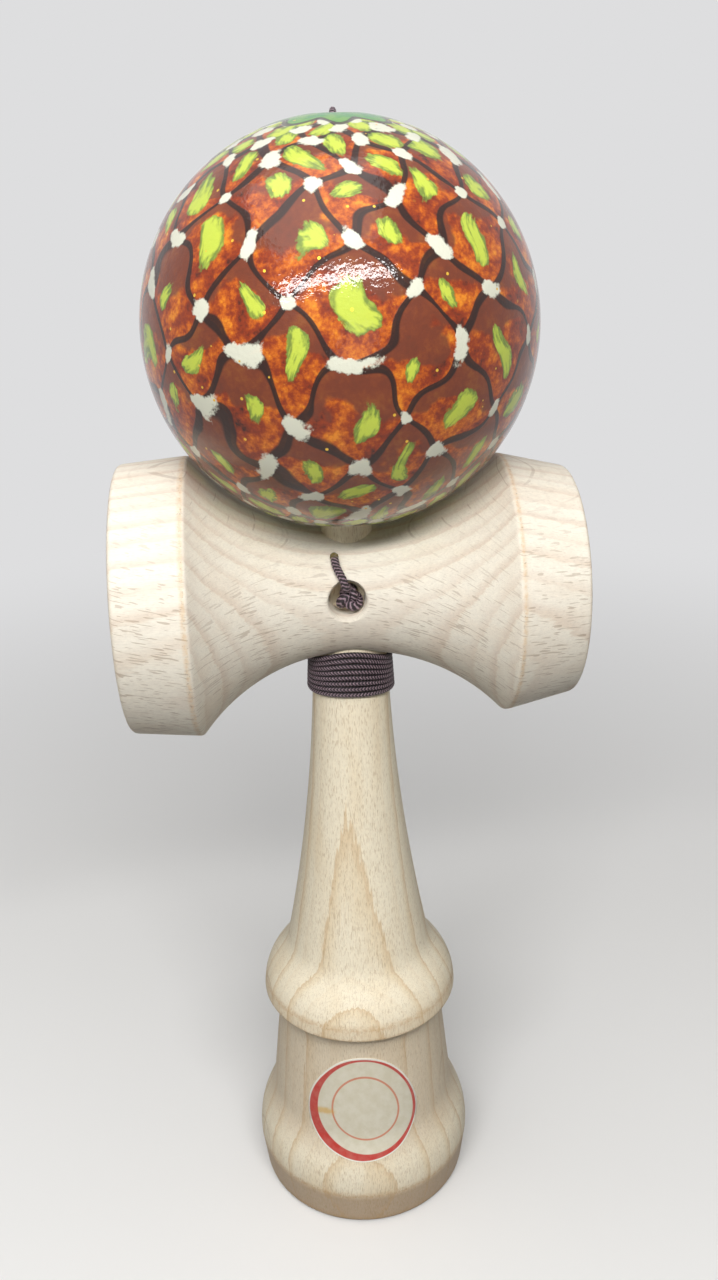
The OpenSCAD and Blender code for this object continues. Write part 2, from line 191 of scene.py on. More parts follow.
class BallProps(bpy.types.PropertyGroup):
    """Sizes and colours of the ball and the bead inside it."""

    mouth_d: length("Mouth", 22, "Diameter of the ball's hole at its mouth")
    mouth_bevel: length("Mouth bevel", 1, "Width of the bevel round the mouth")
    hole_depth: length("Hole depth", 39.1, "Depth of the tapered hole")
    hole_end_d: length("Hole end", 10, "Diameter of the tapered hole at its inner end")
    string_hole_d: length("String hole", 3, "Diameter of the string's own hole at the top")
    countersink_d: length("Countersink", SINK_D, "Diameter of the countersink round that hole")
    edge_ease: length("Edge easing", 0.25, "Length over which edges are eased")
    bead_hole_d: length("Bead hole", 2, "Diameter of the bead's hole")
    amber: colour("Amber", (192, 90, 10), "Bright amber in the stained ground")
    rust: colour("Rust", (140, 49, 9), "Rust brown in the stained ground")
    umber: colour("Umber", (112, 54, 32), "Flat brown in the upper half of each diamond")
    glow: colour("Glow", (238, 148, 30), "Golden orange where the stain is thin")
    line: colour("Trellis", (36, 17, 11), "Dark brown trellis lines")
    lime: colour("Lime", (196, 214, 76), "Oval dabs in the diamonds")
    moss: colour("Moss", (112, 138, 54), "Thin green edge of the oval dabs")
    cream: colour("Cream", (226, 226, 206), "Dots on the trellis crossings")
    green: colour("Green", (22, 136, 62), "Scalloped cap round the string's hole")
    gold: colour("Gold", (236, 190, 62), "Glitter specks in the lacquer")


class StringProps(bpy.types.PropertyGroup):
    """Sizes and colours of the string, its winding and its knots."""

    cord_d: length("String", 1, "Diameter of the string")
    loose_d: length("Loose string", 1.25, "Diameter of the slack string in the knot and the tail")
    run_d: length("Run string", 0.88, "Diameter of the string where it runs over the ball")
    wound_d: length("Wound string", 0.86, "Diameter of the string where it is wound tight")
    lie: length("Lie", 0.52, "Height of the string's middle above the wood that it lies on")
    wind_turns: bpy.props.IntProperty(name="Turns", description="Turns wound round the handle", default=8)
    wind_pitch: length("Pitch", 0.88, "Rise of the winding for each turn")
    saddle: length("Saddle", 1.4, "Height by which the top turn rides up, front and back")
    saddle_end: length("Lowest saddle", 0.36, "The same height at the lowest turn")
    ring_step: length("Ring step", 0.11, "Distance between the rings of the tube's mesh")
    braid_step: length("Braid step", 0.55, "Length of one crossing of the braid")
    dark: colour("Dark strand", (33, 22, 27), "Shaded strands of the braid")
    light: colour("Light strand", (158, 134, 144), "Strands that catch the light")
    # Painted shade: the gap colour is laid where the wound turns face in towards the handle and stands in
    # for the shadow between turns.
    gap: colour("Gap", (13, 9, 11), "Gaps between the turns of the winding")
    melt: colour("Melted tip", (108, 94, 50), "Fused end of the string")


class LabelProps(bpy.types.PropertyGroup):
    """Sizes and colours of the blank label."""

    label_w: length("Label width", 20.2, "Width of the label across the neck")
    label_h: length("Label length", 22, "Length of the label up the neck")
    label_z: length("Label height", 24.4, "Height of the label's centre")
    label_turn: angle("Label turn", -0.066, "Angle of the label round the neck")
    stand: length("Stand", 0.22, "Height of the label's face above the neck")
    paper: colour("Paper", (214, 206, 182), "Field of the label")
    border: colour("Border", (190, 52, 44), "Border round the field")
    ring: colour("Inner ring", (206, 112, 74), "Thin ring inside the field")
    cut: colour("Cut edge", (240, 236, 224), "White edge where the paper was cut")
    smear: colour("Smear", (214, 170, 78), "Yellow smear on the field")


class StageProps(bpy.types.PropertyGroup):
    """Camera, floor and light."""

    lens: bpy.props.FloatProperty(name="Focal length", description="Focal length of the camera",
                                  default=31.825, min=1.0, subtype="DISTANCE_CAMERA")
    eye: bpy.props.FloatVectorProperty(name="Eye", description="Place of the camera", subtype="TRANSLATION",
                                       default=(-0.010157, -0.176160, 0.187329), unit="LENGTH")
    pitch: angle("Pitch", 0.400, "Angle by which the camera looks down")
    yaw: angle("Yaw", 0.0666, "Angle by which the camera looks to the right")
    roll: angle("Roll", -0.026, "Angle by which the camera leans")
    floor: colour("Floor", (238, 237, 235), "Pale floor")
    floor_bounce: colour("Floor bounce", (108, 107, 105), "Floor as it lights the object")
    backdrop: colour("Backdrop", (222, 222, 223), "Backdrop that the camera sees")
    ambient: bpy.props.FloatProperty(name="Ambient", description="Strength of the light from all round",
                                     default=0.13, min=0.0)


class KendamaProps(bpy.types.PropertyGroup):
    """All settings of the kendama."""

    handle: group(HandleProps, "Handle", "Turned handle")
    cups: group(CupProps, "Cup piece", "Cross-set cup piece")
    ball: group(BallProps, "Ball", "Ball and bead")
    string: group(StringProps, "String", "String and knots")
    label: group(LabelProps, "Label", "Blank label")
    stage: group(StageProps, "Stage", "Camera, floor and light")


# Outlines

def curve(a, b, c, d, steps):
    """Cubic curve from a to d with pulls b and c, without a: four Bernstein weights at even steps."""
    t = np.linspace(0, 1, steps + 1)[1:, None]
    s = 1 - t
    return s ** 3 * a + 3 * s * s * t * b + 3 * s * t * t * c + t ** 3 * d


def arc(centre, radius, first, last, steps):
    """Points round a centre at even angles, given in degrees."""
    turn = np.radians(np.linspace(first, last, steps + 1))
    return np.asarray(centre) + radius * np.stack([np.cos(turn), np.sin(turn)], 1)


def bowl_r(rim_r, depth):
    """Radius of the sphere that has a bowl's rim radius and depth."""
    return (rim_r ** 2 + depth ** 2) / (2 * depth)


def bowl(rim_r, depth, steps=40):
    """Bowl outline from its deepest point, at height depth, out to its rim at height 0."""
    radius = bowl_r(rim_r, depth)
    swing = math.degrees(math.asin(rim_r / radius))
    return arc((0, depth - radius), radius, 90, 90 - swing, steps)


def along(points):
    """Length of a line up to each of its points."""
    gaps = np.linalg.norm(np.diff(points, axis=0), axis=1)
    return np.concatenate([[0], np.cumsum(gaps)])


def resampled(points, place, picks):
    """Points of a line at the given places, by linear steps between its own."""
    return np.stack([np.interp(picks, place, column) for column in points.T], 1)


def softened(outline, rings, ease):
    """Outline with sanded edges: evenly spaced points, averaged along the line with bell-shaped weights,
    then spaced again so that sharp bends take more of the rings."""
    per_ease, bend_share = 3, 0.35
    reach = 3 * per_ease
    place = along(outline)
    fine = resampled(outline, place, np.linspace(0, place[-1], int(place[-1] / ease * per_ease)))
    weights = np.exp(-0.5 * (np.arange(-reach, reach + 1) / per_ease) ** 2)
    padded = np.concatenate([2 * fine[0] - fine[reach:0:-1], fine, 2 * fine[-1] - fine[-2:-reach - 2:-1]])
    eased = np.stack([np.convolve(column, weights / weights.sum(), "valid") for column in padded.T], 1)
    steps = np.diff(eased, axis=0)
    heading = np.arctan2(steps[:, 1], steps[:, 0])
    bend = np.abs(np.angle(np.exp(1j * np.diff(heading, prepend=heading[0]))))
    spread = np.linalg.norm(steps, axis=1) / place[-1] + bend_share * bend / bend.sum()
    cost = np.concatenate([[0], np.cumsum(spread)])
    return resampled(eased, cost, np.linspace(0, cost[-1], rings))


# Heights and radii that several pieces share

def seat_span(handle, cups):
    """Lowest and highest point of the tapered seat, which reaches past the waist on both sides."""
    half = cups.waist_d / 2 + handle.seat_over
    return AXIS_Z - half, AXIS_Z + half


def seat_r(z, handle, cups):
    """Radius of the tapered seat: a straight line between its two ends."""
    low, high = seat_span(handle, cups)
    share = (z - low) / (high - low)
    return (handle.seat_low_d + (handle.seat_top_d - handle.seat_low_d) * share) / 2


def land_slope(handle):
    """Change of the land's radius with height."""
    return (handle.seat_low_d - handle.grip_top_d) / 2 / handle.land_h


def land_r(z, handle, cups):
    """Radius of the land under the winding: a straight line from the grip to the seat."""
    return handle.seat_low_d / 2 + land_slope(handle) * (z - seat_span(handle, cups)[0])


def neck_outline(handle):
    """Neck from the foot's largest diameter to the collar: shoulder curve, straight taper, hollow curve."""
    shoulder_pull, neck_pull, hollow_pull = 6.5 * MM, 4 * MM, 2.6 * MM
    collar_pull = np.array([1.6, 0.7]) * MM
    foot = np.array([handle.foot_d / 2, handle.foot_z])
    base = np.array([handle.neck_base_d / 2, handle.neck_z])
    top = np.array([handle.neck_top_d / 2, handle.collar_z - handle.collar_hollow_h])
    collar = np.array([handle.collar_d / 2, handle.collar_z])
    slope = np.array([(top[0] - base[0]) / (top[1] - base[1]), 1])
    return np.concatenate([
        [foot],
        curve(foot, foot + [0, shoulder_pull], base - slope * neck_pull, base, 24),
        [top],
        curve(top, top + slope * hollow_pull, collar - collar_pull, collar, 16)])


def grip_outline(handle, cups):
    """Handle above the collar: band, sweep curve, grip curve, land, seat, spike and rounded tip."""
    band_pull, flare_pull = np.array([-1.2, 5]) * MM, 4 * MM
    grip_way, land_way = np.array([-0.2, 1]), np.array([land_slope(handle), 1])
    tip_h, tip_pull, tip_blunt = 2 * MM, 1.2 * MM, 0.6
    low, high = seat_span(handle, cups)
    band = np.array([handle.collar_top_d / 2, handle.collar_z + handle.collar_h])
    base = np.array([handle.grip_base_d / 2, band[1] + handle.flare_h])
    top = np.array([handle.grip_top_d / 2, low - handle.land_h])
    third = (top[1] - base[1]) / 3
    tip = np.array([handle.spike_tip_d / 2, KEN_H - tip_h])
    return np.concatenate([
        [band],
        curve(band, band + band_pull, base - grip_way * flare_pull, base, 24),
        curve(base, base + grip_way * third, top - land_way * third, top, 24),
        [[handle.seat_low_d / 2, low], [handle.seat_top_d / 2, high], tip],
        curve(tip, tip + [0, tip_pull], np.array([tip[0] * tip_blunt, KEN_H]), np.array([0, KEN_H]), 10)])


def waist_arc_r(cups, shoulder_d, band):
    """Radius of the arc that hollows the waist, from its middle out to a shoulder."""
    return bowl_r(CROSS_HALF - band, (shoulder_d - cups.waist_d) / 2)


def waist_at(x, cups):
    """Radius of the waist at a place along its axis: an arc towards each shoulder."""
    radius = np.where(x < 0, waist_arc_r(cups, cups.big_shoulder_d, cups.big_band),
                      waist_arc_r(cups, cups.small_shoulder_d, cups.small_band))
    return cups.waist_d / 2 + radius - np.sqrt(radius ** 2 - x ** 2)


# Meshes

def angles(count):
    """Even angles round a circle."""
    return np.arange(count) * 2 * math.pi / count


def circle(count):
    """Points (cos a, sin a) of a circle at even angles a."""
    return np.stack([np.cos(angles(count)), np.sin(angles(count))], 1)


def grid_faces(rows, columns, wrap_rows=False):
    """Quads of a grid of points that closes on itself across its columns."""
    i = np.arange(rows if wrap_rows else rows - 1)[:, None]
    k = np.arange(columns)[None, :]
    i2, k2 = (i + 1) % rows, (k + 1) % columns
    corners = [i * columns + k, i * columns + k2, i2 * columns + k2, i2 * columns + k]
    return np.stack(np.broadcast_arrays(*corners), -1).reshape(-1, 4)


def fan_faces(pole, first, columns, flip):
    """Triangles from a pole to the ring of points that starts at first."""
    k = np.arange(columns)
    ring = [first + k, first + (k + 1) % columns]
    return np.stack([np.full(columns, pole), *(ring if flip else ring[::-1])], 1)


def capped_faces(rows, columns, flip=False):
    """Quads between rings of points, and a fan from each end ring to one of the two poles after them."""
    last = rows * columns
    quads = grid_faces(rows, columns)
    return [quads[:, ::-1] if flip else quads, fan_faces(last, 0, columns, flip),
            fan_faces(last + 1, last - columns, columns, not flip)]


def new_piece(name, points, faces, corner_uv=None):
    """Object at the origin whose mesh has the given points and arrays of faces, all of them smooth."""
    mesh = bpy.data.meshes.new(name)
    loops = np.concatenate([f.ravel() for f in faces])
    sizes = np.concatenate([np.full(len(f), f.shape[1]) for f in faces])
    mesh.vertices.add(len(points))
    mesh.vertices.foreach_set("co", np.asarray(points, np.float32).ravel())
    mesh.loops.add(len(loops))
    mesh.loops.foreach_set("vertex_index", loops.astype(np.int32))
    mesh.polygons.add(len(sizes))
    mesh.polygons.foreach_set("loop_start", (np.cumsum(sizes) - sizes).astype(np.int32))
    if corner_uv is not None:
        layer = mesh.uv_layers.new(name="surface")
        layer.data.foreach_set("uv", np.asarray(corner_uv, np.float32).ravel())
    mesh.update(calc_edges=True)
    mesh.validate()
    mesh.shade_smooth()
    piece = bpy.data.objects.new(name, mesh)
    bpy.context.scene.collection.objects.link(piece)
    return piece


def turned(outline, segments):
    """Rings of points (r cos a, r sin a, z), one for each outline point (r, z), at even angles a."""
    side = outline[:, None, :1] * circle(segments)[None]
    height = np.broadcast_to(outline[:, None, 1:], side.shape[:2] + (1,))
    return np.concatenate([side, height], 2).reshape(-1, 3)


def lathe(outline, segments):
    """Surface turned about +Z from an outline that starts and ends on the axis, where fans close it."""
    poles = [[0, 0, outline[0, 1]], [0, 0, outline[-1, 1]]]
    points = np.concatenate([turned(outline[1:-1], segments), poles])
    return points, capped_faces(len(outline) - 2, segments)


def turned_ring(outline, segments):
    """Surface turned about +Z from an outline that is a closed loop clear of the axis."""
    return turned(outline, segments), [grid_faces(len(outline), segments, wrap_rows=True)]


def cut(piece, cutters):
    """Takes cutters away from a piece, one after the other, and removes them."""
    for cutter in cutters:
        hole = piece.modifiers.new(cutter.name, "BOOLEAN")
        hole.operation = "DIFFERENCE"
        hole.solver = "EXACT"
        hole.object = cutter
    bpy.context.view_layer.update()
    seen = piece.evaluated_get(bpy.context.evaluated_depsgraph_get())
    mesh = bpy.data.meshes.new_from_object(seen)
    piece.modifiers.clear()
    old, piece.data = piece.data, mesh
    mesh.name = piece.name
    for used in (old, *(cutter.data for cutter in cutters)):
        bpy.data.meshes.remove(used)
    mesh.shade_smooth()
    mesh.set_sharp_from_angle(angle=math.radians(50))


def read(rows, key):
    """Vectors of a mesh's points or normals as an array."""
    values = np.empty(len(rows) * 3, np.float32)
    rows.foreach_get(key, values)
    return values.reshape(-1, 3).astype(float)


def write_attribute(mesh, name, values):
    """Stores one number for each point of a mesh under a name that its material reads."""
    layer = mesh.attributes.new(name, "FLOAT", "POINT")
    layer.data.foreach_set("value", np.asarray(values, np.float32))


def mark_wood(mesh, axis, axis_z, edges, reach, pith, bands=()):
    """Marks wood that was turned about an axis at a height: a bell of the distance from the nearest edge,
    how squarely the surface faces away from the pith, and the bands that were burnished, each given by its
    middle, half its width, the radius that it starts from and its share."""
    blur = 0.4 * MM
    sides = [k for k in range(3) if k != axis]
    spot = read(mesh.vertices, "co") - [0, 0, axis_z]
    across, place = spot[:, sides], spot[:, axis]
    radius = np.hypot(*across.T)
    gap = np.hypot(radius[:, None] - edges[None, :, 0], place[:, None] - edges[None, :, 1]).min(1)
    write_attribute(mesh, "edge", np.exp(-(gap / reach) ** 2))
    away = across - np.array(pith) * MM
    away /= np.linalg.norm(away, axis=1, keepdims=True)
    normals = read(mesh.vertex_normals, "vector")[:, sides]
    write_attribute(mesh, "face", np.abs((normals * away).sum(1)))
    inside = [np.clip((half - np.abs(place - middle)) / blur + 0.5, 0, 1) * (radius > least) * share
              for middle, half, least, share in bands]
    write_attribute(mesh, "band", np.max([0 * place, *inside], axis=0))


def finish_piece(piece, material, body, slot, *nodes):
    """Gives a piece its finish, the body that carries it and the solids that it stands for."""
    piece.data.materials.clear()
    piece.data.materials.append(material)
    if body:
        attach(piece, body)
    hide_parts(*nodes)


# Routes and tubes

def smooth_route(points, step):
    """Even steps along a curve through points: cubic pieces whose headings come from the neighbours."""
    points = np.asarray(points, float)
    place = along(points)
    heading = np.gradient(points, place, axis=0)
    fine = np.linspace(0, place[-1], int(place[-1] / step * 3))
    i = np.clip(np.searchsorted(place, fine, "right") - 1, 0, len(points) - 2)
    span = (place[i + 1] - place[i])[:, None]
    t = (fine - place[i])[:, None] / span
    line = ((1 + 2 * t) * (1 - t) ** 2 * points[i] + t * (1 - t) ** 2 * span * heading[i]
            + t * t * (3 - 2 * t) * points[i + 1] + t * t * (t - 1) * span * heading[i + 1])
    total = along(line)
    return resampled(line, total, np.linspace(0, total[-1], int(total[-1] / step) + 1))


def frames_along(route):
    """Two side directions at each point of a route that turn with it and don't twist: any side direction,
    turned back by the running sum of the angles by which it had twisted."""
    slanting = [0.31, 0.42, 0.85]
    heading = np.gradient(route, axis=0)
    heading /= np.linalg.norm(heading, axis=1, keepdims=True)
    side = np.cross(heading, slanting)
    side /= np.linalg.norm(side, axis=1, keepdims=True)
    other = np.cross(heading, side)
    twist = np.arctan2((side[:-1] * other[1:]).sum(1), (side[:-1] * side[1:]).sum(1))
    back = np.concatenate([[0], np.cumsum(twist)])[:, None]
    return side * np.cos(back) + other * np.sin(back), other * np.cos(back) - side * np.sin(back)


def tube(name, route, radius, braid_step, sides):
    """Braided tube carried along a route: a circle of the given radius at each point, raised where strands
    cross, by the product of a wave round the tube and a wave along it. Flat fans close its ends.
    Its map is the place along the route in millimetres and the share of a turn round it."""
    strands, relief = 4, 0.07
    place, turn = along(route), angles(sides)
    raised = 1 + relief * np.cos(strands * turn)[None] * np.cos(2 * math.pi * place / braid_step)[:, None]
    across, up = frames_along(route)
    reach = (np.broadcast_to(radius, len(route))[:, None] * raised)[:, :, None]
    ring = across[:, None] * np.cos(turn)[None, :, None] + up[:, None] * np.sin(turn)[None, :, None]
    points = np.concatenate([(route[:, None] + reach * ring).reshape(-1, 3), route[[0, -1]]])
    faces = capped_faces(len(route), sides)
    row, column = np.divmod(faces[0], sides)
    second_side = np.array([False, True, True, False])
    wrapped = np.where((column == 0) & second_side, sides, column)
    quad_uv = np.stack([place[row] / MM, wrapped / sides], -1).reshape(-1, 2)
    cap_uv = np.repeat([[0, 0.5], [place[-1] / MM, 0.5]], 3 * sides, axis=0)
    return new_piece(name, points, faces, np.concatenate([quad_uv, cap_uv]))


def overhand(centre, lobe, depth):
    """Overhand knot as an open trefoil: lobe (sin t + 2 sin 2t) to the left and lobe (cos t - 2 cos 2t)
    down, with depth sin 3t towards the front, from one side of its upper lobe round to the other."""
    gap, steps = 0.42, 60
    t = np.linspace(math.pi + gap, 3 * math.pi - gap, steps)
    x = -lobe * (np.sin(t) + 2 * np.sin(2 * t))
    z = -lobe * (np.cos(t) - 2 * np.cos(2 * t))
    return np.asarray(centre) + np.stack([x, -depth * np.sin(3 * t), z], 1)


def winding(string, handle, cups):
    """Turns of the string round the handle, counted down from the back: each falls by the pitch,
    rides up front and back in a saddle, and lies on the land."""
    steps = 60
    share = np.linspace(0, string.wind_turns, string.wind_turns * steps + 1)
    first_r = land_r(seat_span(handle, cups)[0], handle, cups) + string.lie
    top = AXIS_Z - waist_at(-first_r, cups) - string.lie + string.wind_pitch / 4 + string.saddle
    saddle = string.saddle + (string.saddle_end - string.saddle) * share / string.wind_turns
    z = top - string.wind_pitch * share + saddle * np.cos(4 * math.pi * share)
    r = land_r(z, handle, cups) + string.lie
    turn = math.pi / 2 + 2 * math.pi * share
    return np.stack([r * np.cos(turn), r * np.sin(turn), z], 1)


# Material building

class Signal:
    """Output of a node. Arithmetic between signals and numbers adds the nodes that work it out."""

    def __init__(self, finish, socket):
        self.finish = finish
        self.socket = socket

    def __add__(self, other):
        return self.finish.math("ADD", self, other)

    def __sub__(self, other):
        return self.finish.math("SUBTRACT", self, other)

    def __rsub__(self, other):
        return self.finish.math("SUBTRACT", other, self)

    def __mul__(self, other):
        return self.finish.math("MULTIPLY", self, other)

    def __truediv__(self, other):
        return self.finish.math("DIVIDE", self, other)

    def __mod__(self, other):
        return self.finish.math("FLOORED_MODULO", self, other)

    def __abs__(self):
        return self.finish.math("ABSOLUTE", self)


class Finish:
    """One material or world and short spellings for its nodes."""

    def __init__(self, name, kind="materials"):
        self.owner = getattr(bpy.data, kind).new(name)
        self.owner.use_nodes = True
        self.tree = self.owner.node_tree
        self.tree.nodes.clear()

    def add(self, kind, inputs, **settings):
        """Adds a node, sets it and fills its inputs with signals or values. Gives its outputs."""
        node = self.tree.nodes.new(kind)
        for key, value in settings.items():
            setattr(node, key, value)
        for key, value in inputs.items():
            socket = node.inputs[key]
            if isinstance(value, Signal):
                self.tree.links.new(value.socket, socket)
            elif socket.type == "RGBA":
                socket.default_value = (*value, 1)
            else:
                socket.default_value = value
        return node.outputs

    def out(self, kind, inputs, output=0, **settings):
        """Adds a node and gives one of its outputs as a signal."""
        return Signal(self, self.add(kind, inputs, **settings)[output])

    def vector(self, operation, a, b=(0, 0, 0)):
        """One sum of vectors."""
        return self.out("ShaderNodeVectorMath", {0: a, 1: b}, operation=operation)

    def size(self, vector):
        """Length of a vector."""
        return self.out("ShaderNodeVectorMath", {0: vector}, "Value", operation="LENGTH")

    def place(self):
        """Place on the piece in millimetres."""
        spot = self.out("ShaderNodeTexCoord", {}, "Object")
        return self.out("ShaderNodeVectorMath", {0: spot, 3: 1 / MM}, operation="SCALE")

    def split(self, vector):
        """Three parts of a vector."""
        return [Signal(self, part) for part in self.add("ShaderNodeSeparateXYZ", {0: vector})]

    def join(self, x, y, z=0.0):
        """Vector from its parts."""
        return self.out("ShaderNodeCombineXYZ", {0: x, 1: y, 2: z})

    def surface(self):
        """Two parts of the piece's own map."""
        return self.split(self.out("ShaderNodeUVMap", {}, uv_map="surface"))[:2]

    def math(self, operation, a, b=0.0):
        """One sum."""
        return self.out("ShaderNodeMath", {0: a, 1: b}, operation=operation)

    def most(self, first, *others):
        """Largest of several numbers."""
        for other in others:
            first = self.math("MAXIMUM", first, other)
        return first

    def wave(self, turns):
        """Cosine of a number of whole turns."""
        return self.math("COSINE", turns * (2 * math.pi))

    def noise(self, vector, scale=1.0, detail=2.0, rough=0.5):
        """Cloudy noise about one half."""
        inputs = {"Vector": vector, "Scale": scale, "Detail": detail, "Roughness": rough}
        return self.out("ShaderNodeTexNoise", inputs, "Fac")

    def chance(self, vector):
        """Random number that is the same for equal vectors."""
        return self.out("ShaderNodeTexWhiteNoise", {"Vector": vector}, "Value", noise_dimensions="3D")

    def step(self, value, low, high, to_low=0.0, to_high=1.0):
        """Smooth step between two levels."""
        inputs = {0: value, 1: low, 2: high, 3: to_low, 4: to_high}
        return self.out("ShaderNodeMapRange", inputs, interpolation_type="SMOOTHSTEP")

    def fall(self, value, low, high):
        """Smooth step from 1 down to 0."""
        return self.step(value, low, high, 1.0, 0.0)

    def mix(self, share, a, b, blend="MIX"):
        """Mix of two colours."""
        return self.out("ShaderNodeMix", {0: share, 6: a, 7: b}, 2, data_type="RGBA", blend_type=blend)

    def coats(self, tone, *coats):
        """Colour with other colours laid over it in turn, each by its share."""
        for share, coat in coats:
            tone = self.mix(share, tone, coat)
        return tone

    def attribute(self, name):
        """Number stored on the mesh."""
        return self.out("ShaderNodeAttribute", {}, "Fac", attribute_name=name)

    def bump(self, height, distance, strength=1.0):
        """Normal of a surface raised by height times distance, in metres."""
        return self.out("ShaderNodeBump", {"Height": height, "Distance": distance, "Strength": strength})

    def seen(self):
        """1 for what the camera sees, also mirrored or through glass, and 0 for rays that carry light."""
        rays = self.add("ShaderNodeLightPath", {})
        kinds = ("Is Camera Ray", "Is Glossy Ray", "Is Transmission Ray")
        return self.most(*(Signal(self, rays[kind]) for kind in kinds))

    def shader(self, inputs):
        """Principled surface as the output."""
        self.add("ShaderNodeOutputMaterial", {"Surface": self.out("ShaderNodeBsdfPrincipled", inputs)})
        return self.owner


def wood_figure(n, across, grain, pith, ring_width, first_ring, ring_fall, weak, dash, dash_level, slope):
    """Beech figure from a place in millimetres. Growth rings: distance from the pith over the ring width,
    darkening towards the outer edge of each ring, strong and weak in turn. Rays: noise on the arc round the
    pith, the place along the grain and the distance from the pith, each over its own size, kept above a
    level. Fibre and pores: noise drawn out along the grain."""
    def drawn(across_scale, grain_scale, detail=1.0):
        spot = [part * across_scale for part in across]
        return n.noise(n.join(*spot, grain * grain_scale), 1.0, detail, 0.6)

    drift_mm, jag_mm, sheet_mm, crowd = 2.2, 0.8, 2.2, 0.16
    away = [part - centre for part, centre in zip(across, pith)]
    reach = n.size(n.join(*away))
    drift = drawn(0.10, 0.012) - 0.5
    jag = drawn(1.9, 0.10) - 0.5
    count = (drift * drift_mm + (jag * jag_mm + reach) - first_ring) / ring_width
    phase = n.math("FRACT", count)
    odd = n.math("FLOOR", count) % 2.0
    weight = (odd * (1.0 - weak) + weak) * n.fall(phase, ring_fall, 1.0)
    arc_mm = n.math("ARCTAN2", *away) * math.hypot(*pith)
    ray = n.noise(n.join((grain * slope + arc_mm) / dash[0], grain / dash[1], reach / dash[2]), 1.0, 0.0)
    level = drawn(0.14, 0.09) * -crowd + (dash_level + crowd / 2)
    sheet = n.math("FRACT", drift * 0.5 + arc_mm / sheet_mm)
    thread = n.fall(abs(sheet - 0.5), 0.018, 0.035) * n.step(drawn(0.3, 0.02), 0.46, 0.56)
    return {"ring": n.step(phase, 0.4, 0.88) * weight, "line": n.step(phase, 0.80, 0.95) * weight,
            "fleck": n.step(ray - level, 0.0, 0.05), "thread": thread,
            "pore": n.step(drawn(6.4, 1.0), 0.55, 0.72), "streak": n.step(drawn(2.4, 0.16), 0.52, 0.76),
            "fibre": drawn(5.0, 0.3, 3.0), "cloud": drawn(0.22, 0.05)}


def wood_surface(n, look, figure, place, blush_and_painted_shade, ring_share, line_share, fleck_share, pore_share):
    """Bare beech: early to late wood by ring, rays and pores, a blush that is rosy wood on the cup piece and
    partly painted shade on the handle, tan edges and bands, fine raised fibre.
    """
    band_share, streak_share, chip_share, chip_depth = 0.06, 0.3, 0.6, 1.5
    face, band, edge = (n.attribute(name) for name in ("face", "band", "edge"))
    mottle = n.noise(place, 1.5, 2, 0.7)
    shade = n.step(figure["fibre"], 0.25, 0.75, 0.955, 1.035) * n.step(mottle, 0.3, 0.7, 0.97, 1.02)
    rays = figure["fleck"] * n.step(face, 0.3, 0.95, 0.16, 1.0)
    threads = figure["thread"] * n.step(face, 0.1, 0.5, 0.7, 0.0)
    chipped = edge * n.step(n.noise(place, 2.6, 2, 0.6), 0.60, 0.68)
    body = n.coats(look.pale,
                   (figure["ring"] * ring_share, look.tan),
                   (n.step(figure["cloud"], 0.4, 0.75, 0.0, 0.4), look.tan),
                   # Blush: rosy wood in places on the cup piece; on the handle, partly wood tone and partly
                   # painted shade on the neck and the foot's band.
                   (blush_and_painted_shade, look.blush_and_painted_shade),
                   (figure["line"] * line_share, look.edge))
    body = n.coats(n.mix(1.0, body, n.join(shade, shade, shade), "MULTIPLY"),
                   (figure["pore"] * pore_share, look.fleck),
                   (n.most(rays, threads) * fleck_share, look.fleck),
                   (band * band_share, look.edge),
                   (band * figure["streak"] * streak_share, look.fleck),
                   (edge * n.step(mottle, 0.35, 0.62, 0.2, 0.6), look.edge),
                   (chipped * chip_share, look.fleck))
    height = chipped * -chip_depth + (figure["fleck"] * -0.5 + figure["fibre"])
    return n.shader({"Base Color": body, "Roughness": n.step(figure["fibre"], 0.3, 0.7, 0.5, 0.62),
                     "Specular IOR Level": 0.3, "Normal": n.bump(height, 0.00005, 0.5)})


def handle_wood(look):
    """Handle: grain up the axis and leaning a little, pith in front, so that rings draw a tongue on the grip
    and arches on the sweep and the foot. A blush, partly wood tone and partly painted shade, darkens the
    neck and the foot's band."""
    n = Finish("beech_handle")
    place = n.place()
    x, y, z = n.split(place)
    lean, lean_from = -0.07, 5.88
    figure = wood_figure(n, (x, z * lean + lean_from + y), z, HANDLE_PITH, ring_width=2.7,
                         first_ring=51.7, ring_fall=0.95, weak=0.18, dash=(0.17, 1.2, 6.0),
                         dash_level=0.64, slope=0.0)
    # Painted shade: the neck turns darker and pinker, partly for the wood's tone, right up into the hollow
    # under the collar; the foot's band darkens below the foot's largest diameter.
    neck = n.step(z, 13.0, 18.0, 0.0, 0.4) * n.fall(z, 41.0, 42.4)
    blush_and_painted_shade = neck + n.step(z, 6.2, 8.0, 0.85, 0.0)
    return wood_surface(n, look, figure, place, blush_and_painted_shade, ring_share=0.65, line_share=0.36, fleck_share=0.36,
                        pore_share=0.34)


def cup_wood(look):
    """Cup piece: grain along the cups, pith behind and above, so that rings and rays cross on flares."""
    n = Finish("beech_cups")
    place = n.place()
    x, y, z = n.split(place)
    figure = wood_figure(n, (y, z - AXIS_Z / MM), x, CUP_PITH, ring_width=2.6, first_ring=80.4,
                         ring_fall=0.84, weak=0.6, dash=(0.18, 2.1, 7.0), dash_level=0.655, slope=0.12)
    blush_and_painted_shade = n.step(figure["cloud"], 0.3, 0.6, 0.4, 0.0)
    return wood_surface(n, look, figure, place, blush_and_painted_shade, ring_share=0.95, line_share=0.12, fleck_share=0.44,
                        pore_share=0.14)


